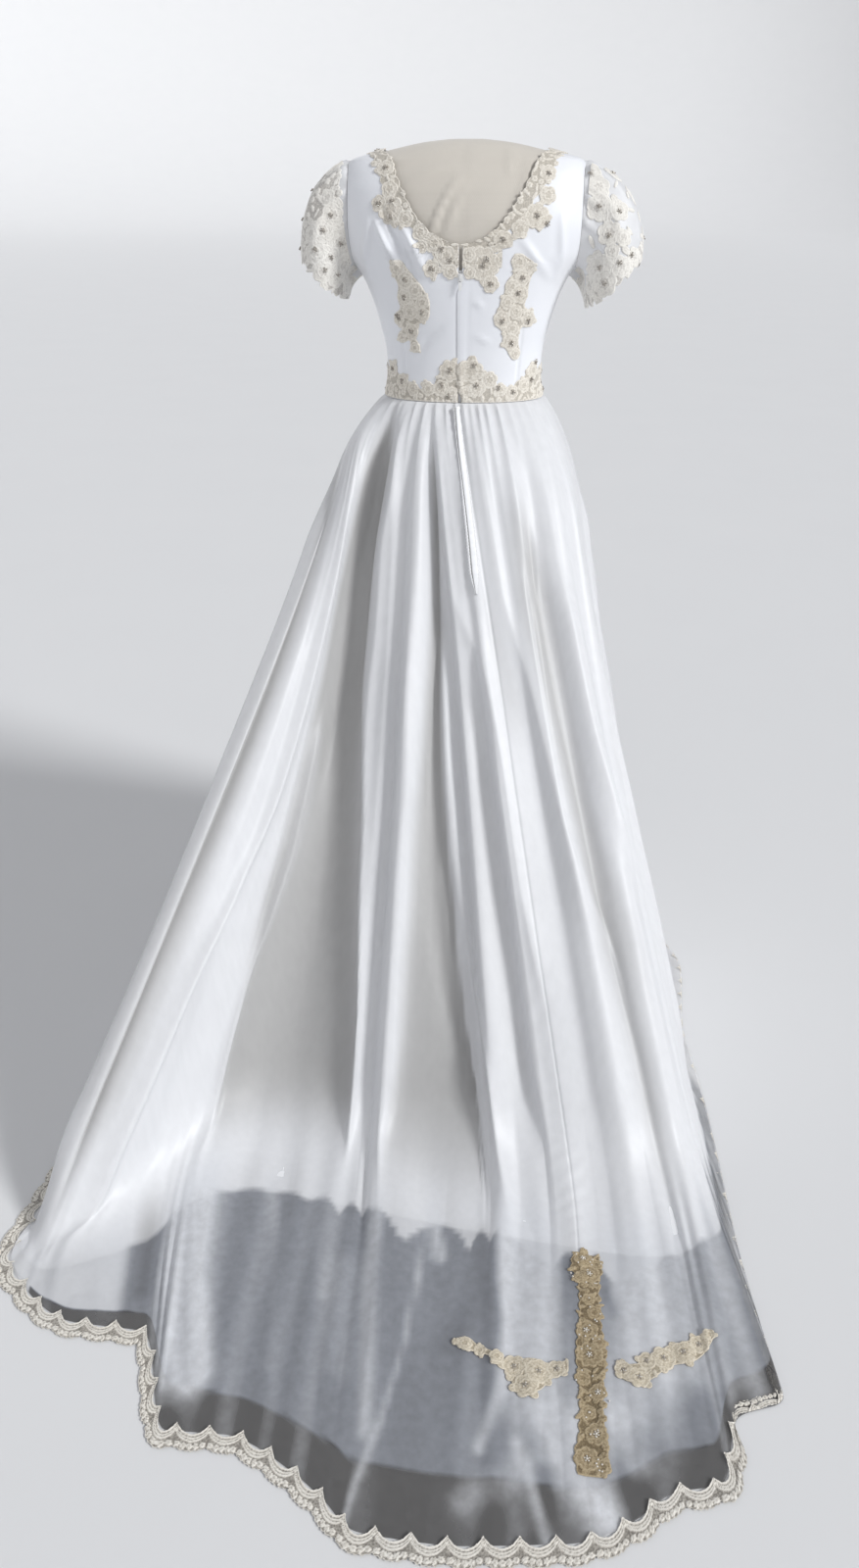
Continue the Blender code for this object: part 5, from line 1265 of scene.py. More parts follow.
def build_bodice():
    """The satin panels. It gives the four half panels' points, directions and flat layouts."""
    panels = {(face, side_name): bodice_grid(side, face) for face in ("back", "front")
              for side_name, side in (("left", 1), ("right", -1))}
    for side_name in ("left", "right"):
        points, out, _ = panels["back", side_name]
        grid_piece("satin_back_" + side_name, points, out, SATIN, "satin",
                   ["bodice_back_" + side_name])
    left, right = panels["front", "left"], panels["front", "right"]
    points, out = (np.concatenate([right[k][:, ::-1], left[k]], 1) for k in (0, 1))
    faces = facing(points, grid_faces(points.shape[:2]), out)
    column, centre = faces % points.shape[1], right[0].shape[1] - 1
    between = (column == centre).any(1) & (column == centre + 1).any(1)
    front = new_piece("satin_front", points, faces[~between], SATIN)
    weld(front)
    settle(front, ["bodice_front"])
    return panels


def weld(piece):
    """Joins a mesh's points that lie at one place, and drops what has no area."""
    shell = bmesh.new()
    shell.from_mesh(piece.data)
    bmesh.ops.remove_doubles(shell, verts=shell.verts, dist=1e-6)
    bmesh.ops.dissolve_degenerate(shell, edges=shell.edges, dist=1e-7)
    shell.to_mesh(piece.data)
    shell.free()
    piece.data.shade_smooth()


def build_form():
    """The torso's linen cover, with soft creases in the open neck, and the steel stand."""
    heights = np.concatenate([np.linspace(FORM_BOTTOM, 1.26, 30),
                              np.linspace(1.26, 1.36, 45)[1:],
                              1.36 + 0.054 * (1 - (1 - np.linspace(0, 1, 26)[1:]) ** 2)])
    turns = np.linspace(0, 360, 193)
    rings, under_cloth = (body_point(turns[None, :], heights[:, None], half)
                          for half in ("form_half", "cloth_half"))
    padded_out = 0.9 * smooth_step((heights - 1.374) / 0.014)[:, None, None]
    rings = rings + (under_cloth - rings) * padded_out
    out = rings * (1, 1, 0.0)
    rise = 2.2 * near_lines(rings[..., 0], rings[..., 2], COVER_CREASES) * (rings[..., 1] > 0)
    rise += 0.0005 * np.sin(rings[..., 2] * 61 + 3 * np.sin(rings[..., 0] * 30))
    rise -= 0.0009 * np.exp(-(rings[..., 0] / 0.0015) ** 2)
    rings = rings + unit(out) * rise[..., None]
    rings[:, -1] = rings[:, 0]
    bottom, top = (np.broadcast_to(ring.mean(0), (1,) + rings.shape[1:])
                   for ring in (rings[0], rings[-1]))
    grid = np.concatenate([bottom, rings, top])
    out = np.concatenate([out[:1] * 0 + (0, 0, -1.0), out, out[:1] * 0 + (0, 0, 1.0)])
    cover = new_piece("linen_torso", grid, facing(grid, grid_faces(grid.shape[:2]), out), LINEN)
    weld(cover)
    settle(cover, ["form_torso"])
    for name in ("form_pole", "form_base"):
        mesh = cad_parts[name].data
        mesh.materials.clear()
        mesh.materials.append(STEEL)


def rounded(name, node_name, material, body, width):
    """A copy of a hard node with its edges rounded."""
    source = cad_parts[node_name]
    mesh = source.data.copy()
    mesh.name = name
    mesh.materials.clear()
    mesh.materials.append(material)
    shell = bmesh.new()
    shell.from_mesh(mesh)
    sharp = [e for e in shell.edges if len(e.link_faces) == 2
             and e.calc_face_angle(0) > math.radians(25)]
    bmesh.ops.bevel(shell, geom=sharp, offset=width, segments=3, profile=0.6, affect="EDGES",
                    clamp_overlap=True)
    shell.to_mesh(mesh)
    shell.free()
    mesh.shade_smooth()
    piece = bpy.data.objects.new(name, mesh)
    piece.matrix_world = source.matrix_world
    bpy.context.collection.objects.link(piece)
    settle(piece, [node_name], body)


def build_zip():
    """The zip's two tapes meet in a row of moulded teeth, behind the edges of the back."""
    heights = np.arange(WAIST + 0.0012, ZIP_TOP, TOOTH / 6)[:, None]
    across = np.linspace(-1, 1, 23)[None, :] * (ZIP_HALF - 0.0003)
    side = np.sign(across)
    grid = cloth_point(turn_at(np.abs(across), heights) * side, heights, 0.0002)
    bite = np.abs(np.sin(math.pi * (heights / TOOTH + 0.25 * side)))
    body = np.clip(1 - np.abs(np.abs(across) - 0.0007) / 0.0009, 0, 1) ** 0.5
    grid[..., 1] += 0.0008 * body * bite
    grid_piece("zip_teeth", grid, np.broadcast_to((0, 1.0, 0), grid.shape), ZIP_CLOTH,
               "zip_tape", ["zip_chain"])
    rounded("zip_slider_body", "zip_slider", WHITE_METAL, "dress", 0.0005)
    rounded("zip_pull_tab", "zip_pull", WHITE_METAL, "zip_pull", 0.00028)


def build_placket(points, columns):
    """The lapped opening that goes on below the zip, with small loops worked along its edge and
    painted shadow in its grooves.
    """
    out = normals_of(points)
    out = out * np.where((out[..., 1:2] < 0), -1, 1)
    places, along = np.array(PLACKET).T
    share = np.linspace(along[0], along[-1], 260)
    row = np.interp(share, FALL_SHARES, np.arange(len(FALL_SHARES)))
    centre = curve(along, places, share)
    middle, beside = (sample(points, row, column_of(columns, centre + step))
                      for step in (0, 0.3))
    pitch = np.linalg.norm(beside - middle, axis=1) / 0.3
    length = way_along(middle)[:, None]
    loop = np.abs(np.sin(math.pi * length / 0.0052))
    pucker = np.sin(2 * math.pi * length / 0.017) + 0.6 * np.sin(2 * math.pi * length / 0.029)
    narrow = smooth_step((share[:, None] - along[-1] + PLACKET_TAPER) / PLACKET_TAPER)
    half = (PLACKET_HALF + 0.0009 * loop) * (1 - 0.75 * narrow)
    across = np.linspace(-1, 1, 33)
    column = column_of(columns, centre[:, None] + across * half / pitch[:, None])
    rows = np.broadcast_to(row[:, None], column.shape)
    low, way = sample(points, rows, column), unit(sample(out, rows, column))
    groove = np.maximum(np.exp(-((across + 0.42) / 0.11) ** 2),
                        0.6 * np.exp(-((across - 0.80) / 0.10) ** 2))
    hump = np.clip(1 - across ** 8, 0, 1)
    rise = 0.0004 + hump * (0.0024 + 0.0005 * loop * np.abs(across) ** 3 + 0.0005 * pucker)
    grid = low + way * (rise - 0.0020 * groove)[..., None]
    # The grooves get painted shadow by the attribute shade.
    grid_piece("satin_placket", grid, way, PLACKET_CLOTH, "satin", ["skirt_placket"],
               shade=np.clip(0.85 * groove * (0.7 + 0.3 * loop), 0, 1))


def column_of(columns, place):
    """The column, with its fraction, at a place between folds."""
    return np.interp(place, columns, np.arange(len(columns)))


# ---------------------------------------------------------------- sleeves
def armhole_loop(panels, side_name):
    """The bodice's edge round one armhole, from the shoulder down the back and up the front, with
    the place of each point on the coarse loop."""
    rows = np.arange(BODICE_ROWS * BODICE_FINE, ARM_ROW * BODICE_FINE - 1, -1)
    back, front = (panels[face, side_name][0][rows, -1] for face in ("back", "front"))
    half = (len(rows) - 1) / BODICE_FINE
    places = [np.linspace(first, first + half, len(rows)) for first in (0, half + 1)]
    return np.concatenate([back, front[::-1]]), np.concatenate(places)


def sleeve_creases(side, turn, t):
    """How far a sleeve's gathers and creases stand out: turn goes round it and t down it."""
    waves = np.random.default_rng(21 if side > 0 else 22)
    total = np.zeros((t + turn).shape)
    for _ in range(34):
        place, width = waves.normal(0, 0.9), waves.uniform(0.05, 0.11)
        away = np.sin((turn - place) / 2) * 2 / (width * (1 + 1.4 * t))
        total += (waves.uniform(0.0012, 0.0034) * np.exp(-away ** 2)
                  * np.exp(-t / waves.uniform(0.12, 0.5)) * smooth_step(t / 0.05))
    for _ in range(9):
        place, lean = waves.uniform(0, 6.28), waves.uniform(-0.5, 0.5)
        past = t - waves.uniform(0.25, 0.75)
        away = np.sin((turn - place - lean * past) / 2) * 2 / 0.16
        total += (waves.choice([-1, 1]) * waves.uniform(0.0012, 0.0026)
                  * np.exp(-away ** 2) * np.exp(-(past / 0.22) ** 2))
    return total * smooth_step((1 - t) / 0.08)


def sleeve_grid(panels, side_name, count=144, rows=48):
    """Points of a short puffed sleeve and its outward directions: rows go out from the armhole."""
    side, outer_half, outer_height, inner_half, inner_height, depth = CUFFS[side_name]
    loop, places = armhole_loop(panels, side_name)
    at = np.linspace(0, places[-1], count + 1)
    loop = np.stack([np.interp(at, places, loop[:, k]) for k in range(3)], -1)
    loop[-1] = loop[0]
    flat = (loop - loop[:-1].mean(0)) * (0, 1, 1)
    inset = 0.0007
    start = loop - unit(flat) * inset + np.array((side * inset, 0, 0))
    turn = np.linspace(0, 2 * math.pi, count + 1)
    top = np.array((side * outer_half, 0, outer_height))
    bottom = np.array((side * inner_half, 0, inner_height))
    end = ((top + bottom) / 2 + np.cos(turn)[:, None] * (top - bottom) / 2
           + np.sin(turn)[:, None] * np.array((0, depth, 0)))
    upper = ((1 + np.cos(turn)) / 2)[:, None]
    leave = unit(upper * (side * 0.90, 0, -0.30) + (1 - upper) * (side * 0.75, 0, -0.40))
    arrive = unit(upper * (side * -0.02, 0, -1.0) + (1 - upper) * (side * 0.30, 0, -0.95))
    reach = np.linalg.norm(end - start, axis=-1, keepdims=True)
    first, second = start + leave * reach * 0.42, end - arrive * reach * 0.40
    t = np.linspace(0, 1, rows + 1)[:, None, None]
    outer = ((1 - t) ** 3 * start + 3 * t * (1 - t) ** 2 * first
             + 3 * t ** 2 * (1 - t) * second + t ** 3 * end)
    away = unit(outer - outer[:, :-1].mean(1, keepdims=True))
    outer = outer + away * sleeve_creases(side, turn, t[..., 0])[..., None]
    outer[:, -1], away[:, -1] = outer[:, 0], away[:, 0]
    return outer, away


def build_sleeves(panels):
    """The sheer sleeves. It gives each one's points and outward directions."""
    grids = {}
    for side_name in ("left", "right"):
        grids[side_name] = sleeve_grid(panels, side_name)
        grid_piece("organza_sleeve_" + side_name, *grids[side_name], SLEEVE, "sleeve_organza",
                   ["sleeve_" + side_name])
    return grids


# ---------------------------------------------------------------- lace
# Each motif is (kind, u, v, size, ...) in a patch's own plane, in metres.
beads = []      # (x, y, z, radius, smoky)


def ridge(away, half):
    """A cord's round section: 1 on its middle and 0 from its half width on."""
    return np.sqrt(np.clip(1 - (away / half) ** 2, 0, 1))


def flower(u, v, cu, cv, radius, petals, turn):
    """A blossom of two rounds of petals: how far inside it each place is, its rise and its tone."""
    x, y = u - cu, v - cv
    angle = np.arctan2(y, x) - turn
    lobe = np.abs(np.cos(petals * angle / 2))
    away = np.hypot(x, y)
    share = away / (radius * (0.80 + 0.20 * lobe ** 0.6))
    inner = away / (radius * 0.46 * (0.80 + 0.20 * np.abs(np.sin(petals * angle / 2))))
    cord = np.maximum(ridge((share - 0.90) * radius, 0.0011),
                      0.8 * ridge((inner - 1) * radius * 0.46, 0.0010))
    parting = ridge(lobe * away, 0.0009) * (share < 0.85) * (share > 0.4)
    dome = np.sqrt(np.clip(1 - share ** 2, 0, 1)) * (0.55 + 0.45 * lobe)
    rise = 0.0011 * dome + 0.0007 * cord
    tone = 0.56 + 0.10 * lobe + 0.34 * cord - 0.34 * parting - 0.20 * (inner < 0.8)
    return (1 - share) * radius, rise, tone


def leaf(u, v, cu, cv, length, width, turn):
    """A pointed leaf with a midrib, given like a flower. length and width are half of its own."""
    c, s = math.cos(turn), math.sin(turn)
    x, y = (u - cu) * c + (v - cv) * s, (v - cv) * c - (u - cu) * s
    t = np.clip(x / length, -1, 1)
    half = width * np.sqrt(1 - t ** 2)
    inside = np.where(np.abs(x) < length, half - np.abs(y), -np.hypot(np.abs(x) - length, y))
    cord = np.maximum(ridge(y, 0.0008), ridge(inside - 0.0009, 0.0010)) * (np.abs(t) < 1)
    rise = 0.0006 * ridge(y, np.maximum(half, 1e-5)) + 0.0006 * cord
    return inside, rise, 0.54 + 0.34 * cord


MOTIFS = {"flower": flower, "leaf": leaf}


def net(u, v, cell=0.0034):
    """A hexagonal net: 1 on its threads."""
    threads = [np.abs(np.cos(math.pi * (u * math.cos(a) + v * math.sin(a)) / cell))
               for a in (0.0, math.pi / 3, 2 * math.pi / 3)]
    return 1 - np.clip(np.minimum.reduce(threads) / 0.55, 0, 1)


def draw(u, v, base, motifs, patch=None):
    """How far inside its outline each point of lace is, how high it stands, and its tone.

    A patch given here is a strongly slanted one, where a motif is laid out flat on its own spot.
    """
    inside = base.copy()
    threads = net(u, v)
    edge = ridge(base - 0.0009, 0.0011)
    rise = 0.0003 + 0.0002 * threads + 0.0005 * edge
    tone = np.maximum(0.10 + 0.22 * threads, 0.9 * edge)
    for kind, *numbers in motifs:
        middle_u, middle_v, reach = numbers[:3]
        if patch is None:
            at = np.where((np.abs(u - middle_u) < reach) & (np.abs(v - middle_v) < reach))
            flat = u[at], v[at]
        else:
            at, flat = laid_out(patch, middle_u, middle_v, reach)
        if not len(at[0]):
            continue
        new_inside, new_rise, new_tone = MOTIFS[kind](*flat, *numbers)
        over = new_inside > 0
        inside[at] = np.maximum(inside[at], new_inside)
        rise[at] = np.where(over, np.maximum(rise[at], new_rise + 0.0003), rise[at])
        tone[at] = np.where(over, new_tone, tone[at])
    return inside, rise, tone


def clear_of(motifs, u, v, gap):
    """Whether a place lies at least gap outside every flower of the motifs."""
    return all((u - m[1]) ** 2 + (v - m[2]) ** 2 >= (m[3] + gap) ** 2
               for m in motifs if m[0] == "flower")


def laid_out(patch, u, v, reach):
    """The patch's points within reach of a place, and where they lie on the plane that touches
    it there."""
    spot = nearest(patch, u, v)
    out = patch["out"][spot]
    across = unit(np.cross((0, 0, 1.0), out))
    away = patch["points"] - patch["points"][spot]
    at = np.where(((away ** 2).sum(-1) < 2 * reach ** 2) & ((patch["out"] * out).sum(-1) > 0))
    return at, (u + away[at] @ across, v + away[at] @ np.cross(across, out))


def cut_out(name, patch, base, motifs, material, nodes, lift=0.0003, slanted=False):
    """A piece of lace: the patch's cloth raised by its motifs and cut along its outline."""
    u, v = patch["u"], patch["v"]
    inside, rise, tone = draw(u, v, base, motifs, patch if slanted else None)
    low = patch["points"] + patch["out"] * lift
    high = (low + patch["out"] * rise[..., None]).reshape(-1, 3)
    low, inside, tone = low.reshape(-1, 3), inside.ravel(), tone.ravel()
    quads = facing(patch["points"], grid_faces(u.shape), patch["out"])
    triangles = np.concatenate([quads[:, [0, 1, 2]], quads[:, [0, 2, 3]]])
    held = inside > 0
    count = held[triangles].sum(1)
    kept = triangles[count == 3].tolist()
    extra, extra_tone, known = [], [], {}

    def cut(a, b):
        """The point where the outline crosses the edge from a, which is inside, to b."""
        key = (a, b) if a < b else (b, a)
        if key not in known:
            known[key] = len(high) + len(extra)
            t = inside[a] / (inside[a] - inside[b])
            extra.append(low[a] + (low[b] - low[a]) * t)
            extra_tone.append(tone[a])
        return known[key]

    for t in triangles[(count == 1) | (count == 2)]:
        t = [int(k) for k in t]
        while not (held[t[0]] and not held[t[2]]):
            t = t[1:] + t[:1]
        a, b, c = t
        if held[b]:
            p, q = cut(b, c), cut(a, c)
            kept += [[a, b, p], [a, p, q]]
        else:
            kept.append([a, cut(a, b), cut(a, c)])
    points = np.concatenate([high, np.reshape(extra, (-1, 3))])
    tones = np.concatenate([tone, extra_tone])
    used, kept = np.unique(np.array(kept, np.int32), return_inverse=True)
    piece = new_piece(name, points[used], kept.reshape(-1, 3), material, tone=tones[used])
    settle(piece, nodes)


def nearest(patch, u, v):
    """The patch's point that lies nearest to u and v."""
    away = (patch["u"] - u) ** 2 + (patch["v"] - v) ** 2
    return np.unravel_index(np.argmin(away), away.shape)


def near(patch, x, z, second=2):
    """The patch's u and v at a place seen from behind, or on the train from above."""
    seen = patch["points"]
    away = (seen[..., 0] - x) ** 2 + (seen[..., second] - z) ** 2
    if second == 2:
        away = away + (patch["out"][..., 1] < 0)
    at = np.unravel_index(np.argmin(away), away.shape)
    return patch["u"][at], patch["v"][at]


def bead_cluster(patch, u, v, size=1.0, around=5, smoky=True):
    """A pearl with a ring of smaller beads, sewn on lace."""
    at = nearest(patch, u, v)
    middle, out = patch["points"][at], patch["out"][at]
    side = unit(np.cross(out, (0.3, 0.2, 0.9)))
    other = np.cross(out, side)
    turn = random.uniform(0, 6.28)
    beads.append((*(middle + out * (PEARL_HEIGHT * size)), PEARL_RADIUS * size, smoky))
    for k in range(around):
        angle = turn + 2 * math.pi * k / around
        ring = (side * math.cos(angle) + other * math.sin(angle)) * BEAD_RING * size
        beads.append((*(middle + ring + out * BEAD_HEIGHT), BEAD_RADIUS * size,
                      smoky and k % 2 == 0))


def scattered(patch, base, spacing, margin=0.0):
    """Seeded places inside a base outline, at least spacing apart."""
    u, v, inside = patch["u"].ravel(), patch["v"].ravel(), base.ravel()
    points = patch["points"].reshape(-1, 3)
    held = np.where(inside > margin)[0]
    order = random.permutation(held)
    chosen = []
    for k in order[:4000]:
        if all(((points[k] - points[j]) ** 2).sum() > spacing ** 2 for j in chosen):
            chosen.append(k)
    return [(u[k], v[k]) for k in chosen]


def filling(patch, base, spacing, taken, size=1.0):
    """Small blossoms and leaves that fill a base outline round the placed motifs."""
    made = []
    for u, v in scattered(patch, base, spacing, 0.001):
        if not clear_of(taken, u, v, 0.002):
            continue
        if random.random() < 0.45:
            made.append(("flower", u, v, size * random.uniform(0.0042, 0.0060),
                         int(random.integers(5, 7)), random.uniform(0, 3)))
        else:
            made.append(("leaf", u, v, size * random.uniform(0.0050, 0.0075),
                         size * random.uniform(0.0020, 0.0028), random.uniform(0, 3.14)))
    return made


def seeded_flowers(patch, places, radii, most_petals, beaded):
    """Flowers at places that no view gives, a share of them with beads."""
    made = []
    for u, v in places:
        made.append(("flower", u, v, random.uniform(*radii),
                     int(random.integers(5, most_petals + 1)), random.uniform(0, 3)))
        if random.random() < beaded:
            bead_cluster(patch, u, v)
    return made


def even_steps(line_at, places, step):
    """Places at even steps along a line, with the line's points there and the way along it."""
    along = way_along(line_at(places))
    places = np.interp(np.linspace(0, along[-1], round(along[-1] / step)), along, places)
    line = line_at(places)
    return places, line, way_along(line)


def bodice_patch(panel, rows, columns):
    points, out, flat = panel
    rows, columns = np.broadcast_arrays(rows, columns)
    laid = sample(flat, rows, columns)
    return {"points": sample(points, rows, columns), "out": unit(sample(out, rows, columns)),
            "u": laid[..., 0].copy(), "v": laid[..., 1].copy()}


def neck_patch(panel):
    """The bodice beside its neck edge, with the way along the edge and the distance from it."""
    points = panel[0]
    coarse = np.linspace(5.4 * BODICE_FINE, BODICE_ROWS * BODICE_FINE, 250)
    rows, edge, along = even_steps(lambda at: sample(points, at, 0.0), coarse, NECK_STEP)
    pitch = np.linalg.norm(sample(points, rows, 1.0) - edge, axis=-1)
    away = np.arange(-0.008, 0.078, NECK_STEP)
    patch = bodice_patch(panel, rows[:, None], np.minimum(away / pitch[:, None], 60))
    patch["along"], patch["away"] = np.broadcast_arrays(along[:, None], away)
    patch["rows"] = rows / BODICE_FINE
    return patch


# Flowers beside the neck: x, z, radius, petals; and the bead clusters, on each side of the back.
NECK_FLOWERS = {
    "left": [(0.134, 1.398, 0.013, 6), (0.118, 1.374, 0.015, 6), (0.110, 1.346, 0.014, 5),
             (0.108, 1.318, 0.021, 7), (0.127, 1.326, 0.013, 5), (0.085, 1.306, 0.013, 6),
             (0.062, 1.288, 0.013, 5), (0.041, 1.273, 0.015, 6), (0.022, 1.256, 0.016, 6),
             (0.044, 1.238, 0.014, 6), (0.016, 1.234, 0.012, 5), (0.060, 1.268, 0.010, 5)],
    "right": [(-0.134, 1.398, 0.014, 6), (-0.126, 1.368, 0.014, 6), (-0.127, 1.338, 0.014, 5),
              (-0.112, 1.310, 0.020, 7), (-0.133, 1.295, 0.014, 6), (-0.088, 1.292, 0.014, 5),
              (-0.063, 1.276, 0.016, 6), (-0.034, 1.246, 0.026, 8), (-0.012, 1.258, 0.011, 5),
              (-0.046, 1.216, 0.014, 6), (-0.062, 1.250, 0.012, 5), (-0.014, 1.232, 0.010, 5)],
}
NECK_BEADS = {
    "left": [(0.106, 1.330), (0.118, 1.374), (0.108, 1.308), (0.044, 1.238), (0.029, 1.266),
             (0.127, 1.326), (0.016, 1.250)],
    "right": [(-0.112, 1.311), (-0.133, 1.295), (-0.034, 1.243), (-0.046, 1.217),
              (-0.127, 1.366), (-0.063, 1.279), (-0.040, 1.252)],
}
SPRAY_FLOWERS = {
    "left": [(0.100, 1.238, 0.013, 6), (0.086, 1.222, 0.014, 6), (0.070, 1.206, 0.013, 6),
             (0.088, 1.196, 0.013, 5), (0.060, 1.190, 0.012, 5), (0.060, 1.172, 0.012, 6),
             (0.080, 1.176, 0.014, 6), (0.098, 1.164, 0.011, 5), (0.078, 1.146, 0.013, 6),
             (0.094, 1.136, 0.009, 5), (0.072, 1.122, 0.009, 5)],
    "right": [(-0.088, 1.248, 0.013, 6), (-0.104, 1.240, 0.010, 5), (-0.094, 1.226, 0.013, 6),
              (-0.078, 1.214, 0.011, 5), (-0.090, 1.202, 0.015, 6), (-0.072, 1.190, 0.012, 5),
              (-0.064, 1.166, 0.014, 6), (-0.104, 1.166, 0.014, 6), (-0.084, 1.176, 0.012, 5),
              (-0.080, 1.152, 0.012, 6), (-0.078, 1.132, 0.014, 6), (-0.086, 1.114, 0.010, 5)],
}
SPRAY_BEADS = {
    "left": [(0.060, 1.176), (0.097, 1.166), (0.078, 1.146), (0.088, 1.196), (0.101, 1.168),
             (0.086, 1.222)],
    "right": [(-0.094, 1.226), (-0.065, 1.163), (-0.104, 1.162), (-0.079, 1.130),
              (-0.088, 1.204)],
}
WAIST_FLOWERS = {
    "left": [(0.016, 1.088, 0.018, 7), (0.030, 1.062, 0.014, 6), (0.012, 1.056, 0.010, 5),
             (0.052, 1.060, 0.012, 6), (0.076, 1.058, 0.011, 5), (0.095, 1.068, 0.013, 6),
             (0.112, 1.086, 0.014, 6), (0.116, 1.054, 0.010, 5)],
    "right": [(-0.018, 1.088, 0.019, 7), (-0.028, 1.062, 0.013, 6), (-0.046, 1.076, 0.014, 6),
              (-0.064, 1.060, 0.011, 5), (-0.082, 1.056, 0.012, 6), (-0.100, 1.064, 0.012, 6),
              (-0.114, 1.086, 0.015, 6), (-0.010, 1.056, 0.009, 5)],
}
WAIST_BEADS = {
    "left": [(0.018, 1.051), (0.029, 1.067), (0.016, 1.090), (0.112, 1.086), (0.095, 1.068)],
    "right": [(-0.022, 1.098), (-0.026, 1.067), (-0.117, 1.098), (-0.112, 1.072),
              (-0.060, 1.062), (-0.084, 1.056)],
}


def placed(patch, flowers, second=2):
    """Flowers at their places, each with two leaves that hardly pass its edge."""
    made = []
    for x, z, radius, petals in flowers:
        u, v = near(patch, x, z, second)
        made.append(("flower", u, v, radius, petals, random.uniform(0, 3)))
        for _ in range(2):
            turn = random.uniform(0, 6.28)
            reach = radius * 0.86
            made.insert(0, ("leaf", u + reach * math.cos(turn), v + reach * math.sin(turn),
                            radius * 0.44, radius * 0.34, turn))
    return made


def neck_base(patch, face):
    along, away, rows = patch["along"], patch["away"], patch["rows"][:, None]
    reach = look_up(NECK_LACE, NECK_LACE_COLUMNS, face + "_reach", rows)
    wave = np.abs(np.sin(math.pi * along / NECK_SCALLOP))
    above = smooth_step((rows - NECK_ROW) / 0.15) * (1 - smooth_step((rows - 14.6) / 1.2))
    inner = above * (-NECK_OVERHANG + 0.0028 * (1 - wave)) + (1 - above) * 0.0004
    low_end = (rows - ARM_ROW) * 0.03 + 0.002 * wave
    return np.minimum.reduce([0.72 * reach - 0.004 + 0.005 * wave - away, away - inner, low_end])


def build_bodice_lace(panels):
    """Lace on the neck and waist of all panels, and a spray on each back panel."""
    back = (("neck_back_", "neckline_lace_back_", neck_patch,
             lambda patch, motifs: neck_base(patch, "back"), NECK_FLOWERS, NECK_BEADS, 1.0),
            ("spray_", "bodice_spray_", spray_patch, spray_base, SPRAY_FLOWERS, SPRAY_BEADS, 0.8),
            ("waist_back_", "waist_lace_back_", waist_patch,
             lambda patch, motifs: waist_base(patch), WAIST_FLOWERS, WAIST_BEADS, 1.0))
    for side_name in ("left", "right"):
        for name, node_name, patch_of, base_of, flowers, clusters, size in back:
            patch = patch_of(panels["back", side_name])
            motifs = placed(patch, flowers[side_name])
            base = base_of(patch, motifs)
            motifs = filling(patch, base, FILLING_STEP, motifs, size) + motifs
            cut_out("lace_" + name + side_name, kept_inside(patch, ZIP_HALF), base, motifs,
                    IVORY_LACE, [node_name + side_name])
            for x, z in clusters[side_name]:
                bead_cluster(patch, *near(patch, x, z))
    for name, node_name, patch_of, base_of in (
            ("neck", "neckline_lace_front", neck_patch, lambda patch: neck_base(patch, "front")),
            ("waist", "waist_lace_front", waist_patch, waist_base)):
        for side_name, nodes in (("left", [node_name]), ("right", [])):
            patch = patch_of(panels["front", side_name])
            base = base_of(patch)
            motifs = seeded_flowers(patch, scattered(patch, base, 0.027, 0.006),
                                    (0.012, 0.017), 7, 0.6)
            motifs = filling(patch, base, FILLING_STEP, motifs) + motifs
            cut_out(f"lace_{name}_front_{side_name}", kept_inside(patch, 0.0), base, motifs,
                    IVORY_LACE, nodes, slanted=name == "neck")


def kept_inside(patch, half):
    """A neck's patch with points that would cross the centre line pulled back to it; another
    patch as it is."""
    if "rows" not in patch:
        return patch
    points = patch["points"].copy()
    side = np.sign(points[..., 0].mean())
    low = patch["rows"] < NECK_ROW + 0.02
    points[low, :, 0] = side * np.maximum(points[low, :, 0] * side, half)
    return {**patch, "points": points}


def spray_patch(panel):
    return bodice_patch(panel, np.arange(9, 52, 0.25)[:, None], np.arange(8, 56, 0.40)[None, :])


def spray_base(patch, motifs):
    """The net that joins the flowers of a spray, with a lobed edge."""
    total = np.zeros(patch["u"].shape)
    for kind, u, v, radius, *_ in motifs:
        if kind == "flower":
            away = np.hypot(patch["u"] - u, patch["v"] - v)
            total += np.exp(-(away / (radius * 1.05)) ** 2)
    return (total - 0.46) * 0.014


def waist_patch(panel):
    """The bodice over its waist seam, with the way along the seam and the height over it."""
    points = panel[0]
    coarse = np.linspace(0, points.shape[1] - 1, 600)
    columns, edge, along = even_steps(lambda at: sample(points, 0.0, at), coarse, LACE_STEP)
    away = np.arange(0.0006, 0.082, LACE_STEP)
    rise = sample(points, BODICE_FINE, columns)[:, 2] - edge[:, 2]
    patch = bodice_patch(panel, away[:, None] / rise[None, :] * BODICE_FINE, columns[None, :])
    patch["along"], patch["away"] = np.broadcast_arrays(along[None, :], away[:, None])
    patch["half"] = np.abs(edge[:, 0])
    return patch


def waist_base(patch):
    top = look_up(WAIST_LACE, WAIST_LACE_COLUMNS, "height", patch["half"])[None, :] - WAIST
    wave = np.abs(np.sin(math.pi * patch["along"] / WAIST_SCALLOP))
    return np.minimum(0.78 * top - 0.004 + 0.006 * wave - patch["away"], patch["away"] - 0.0005)


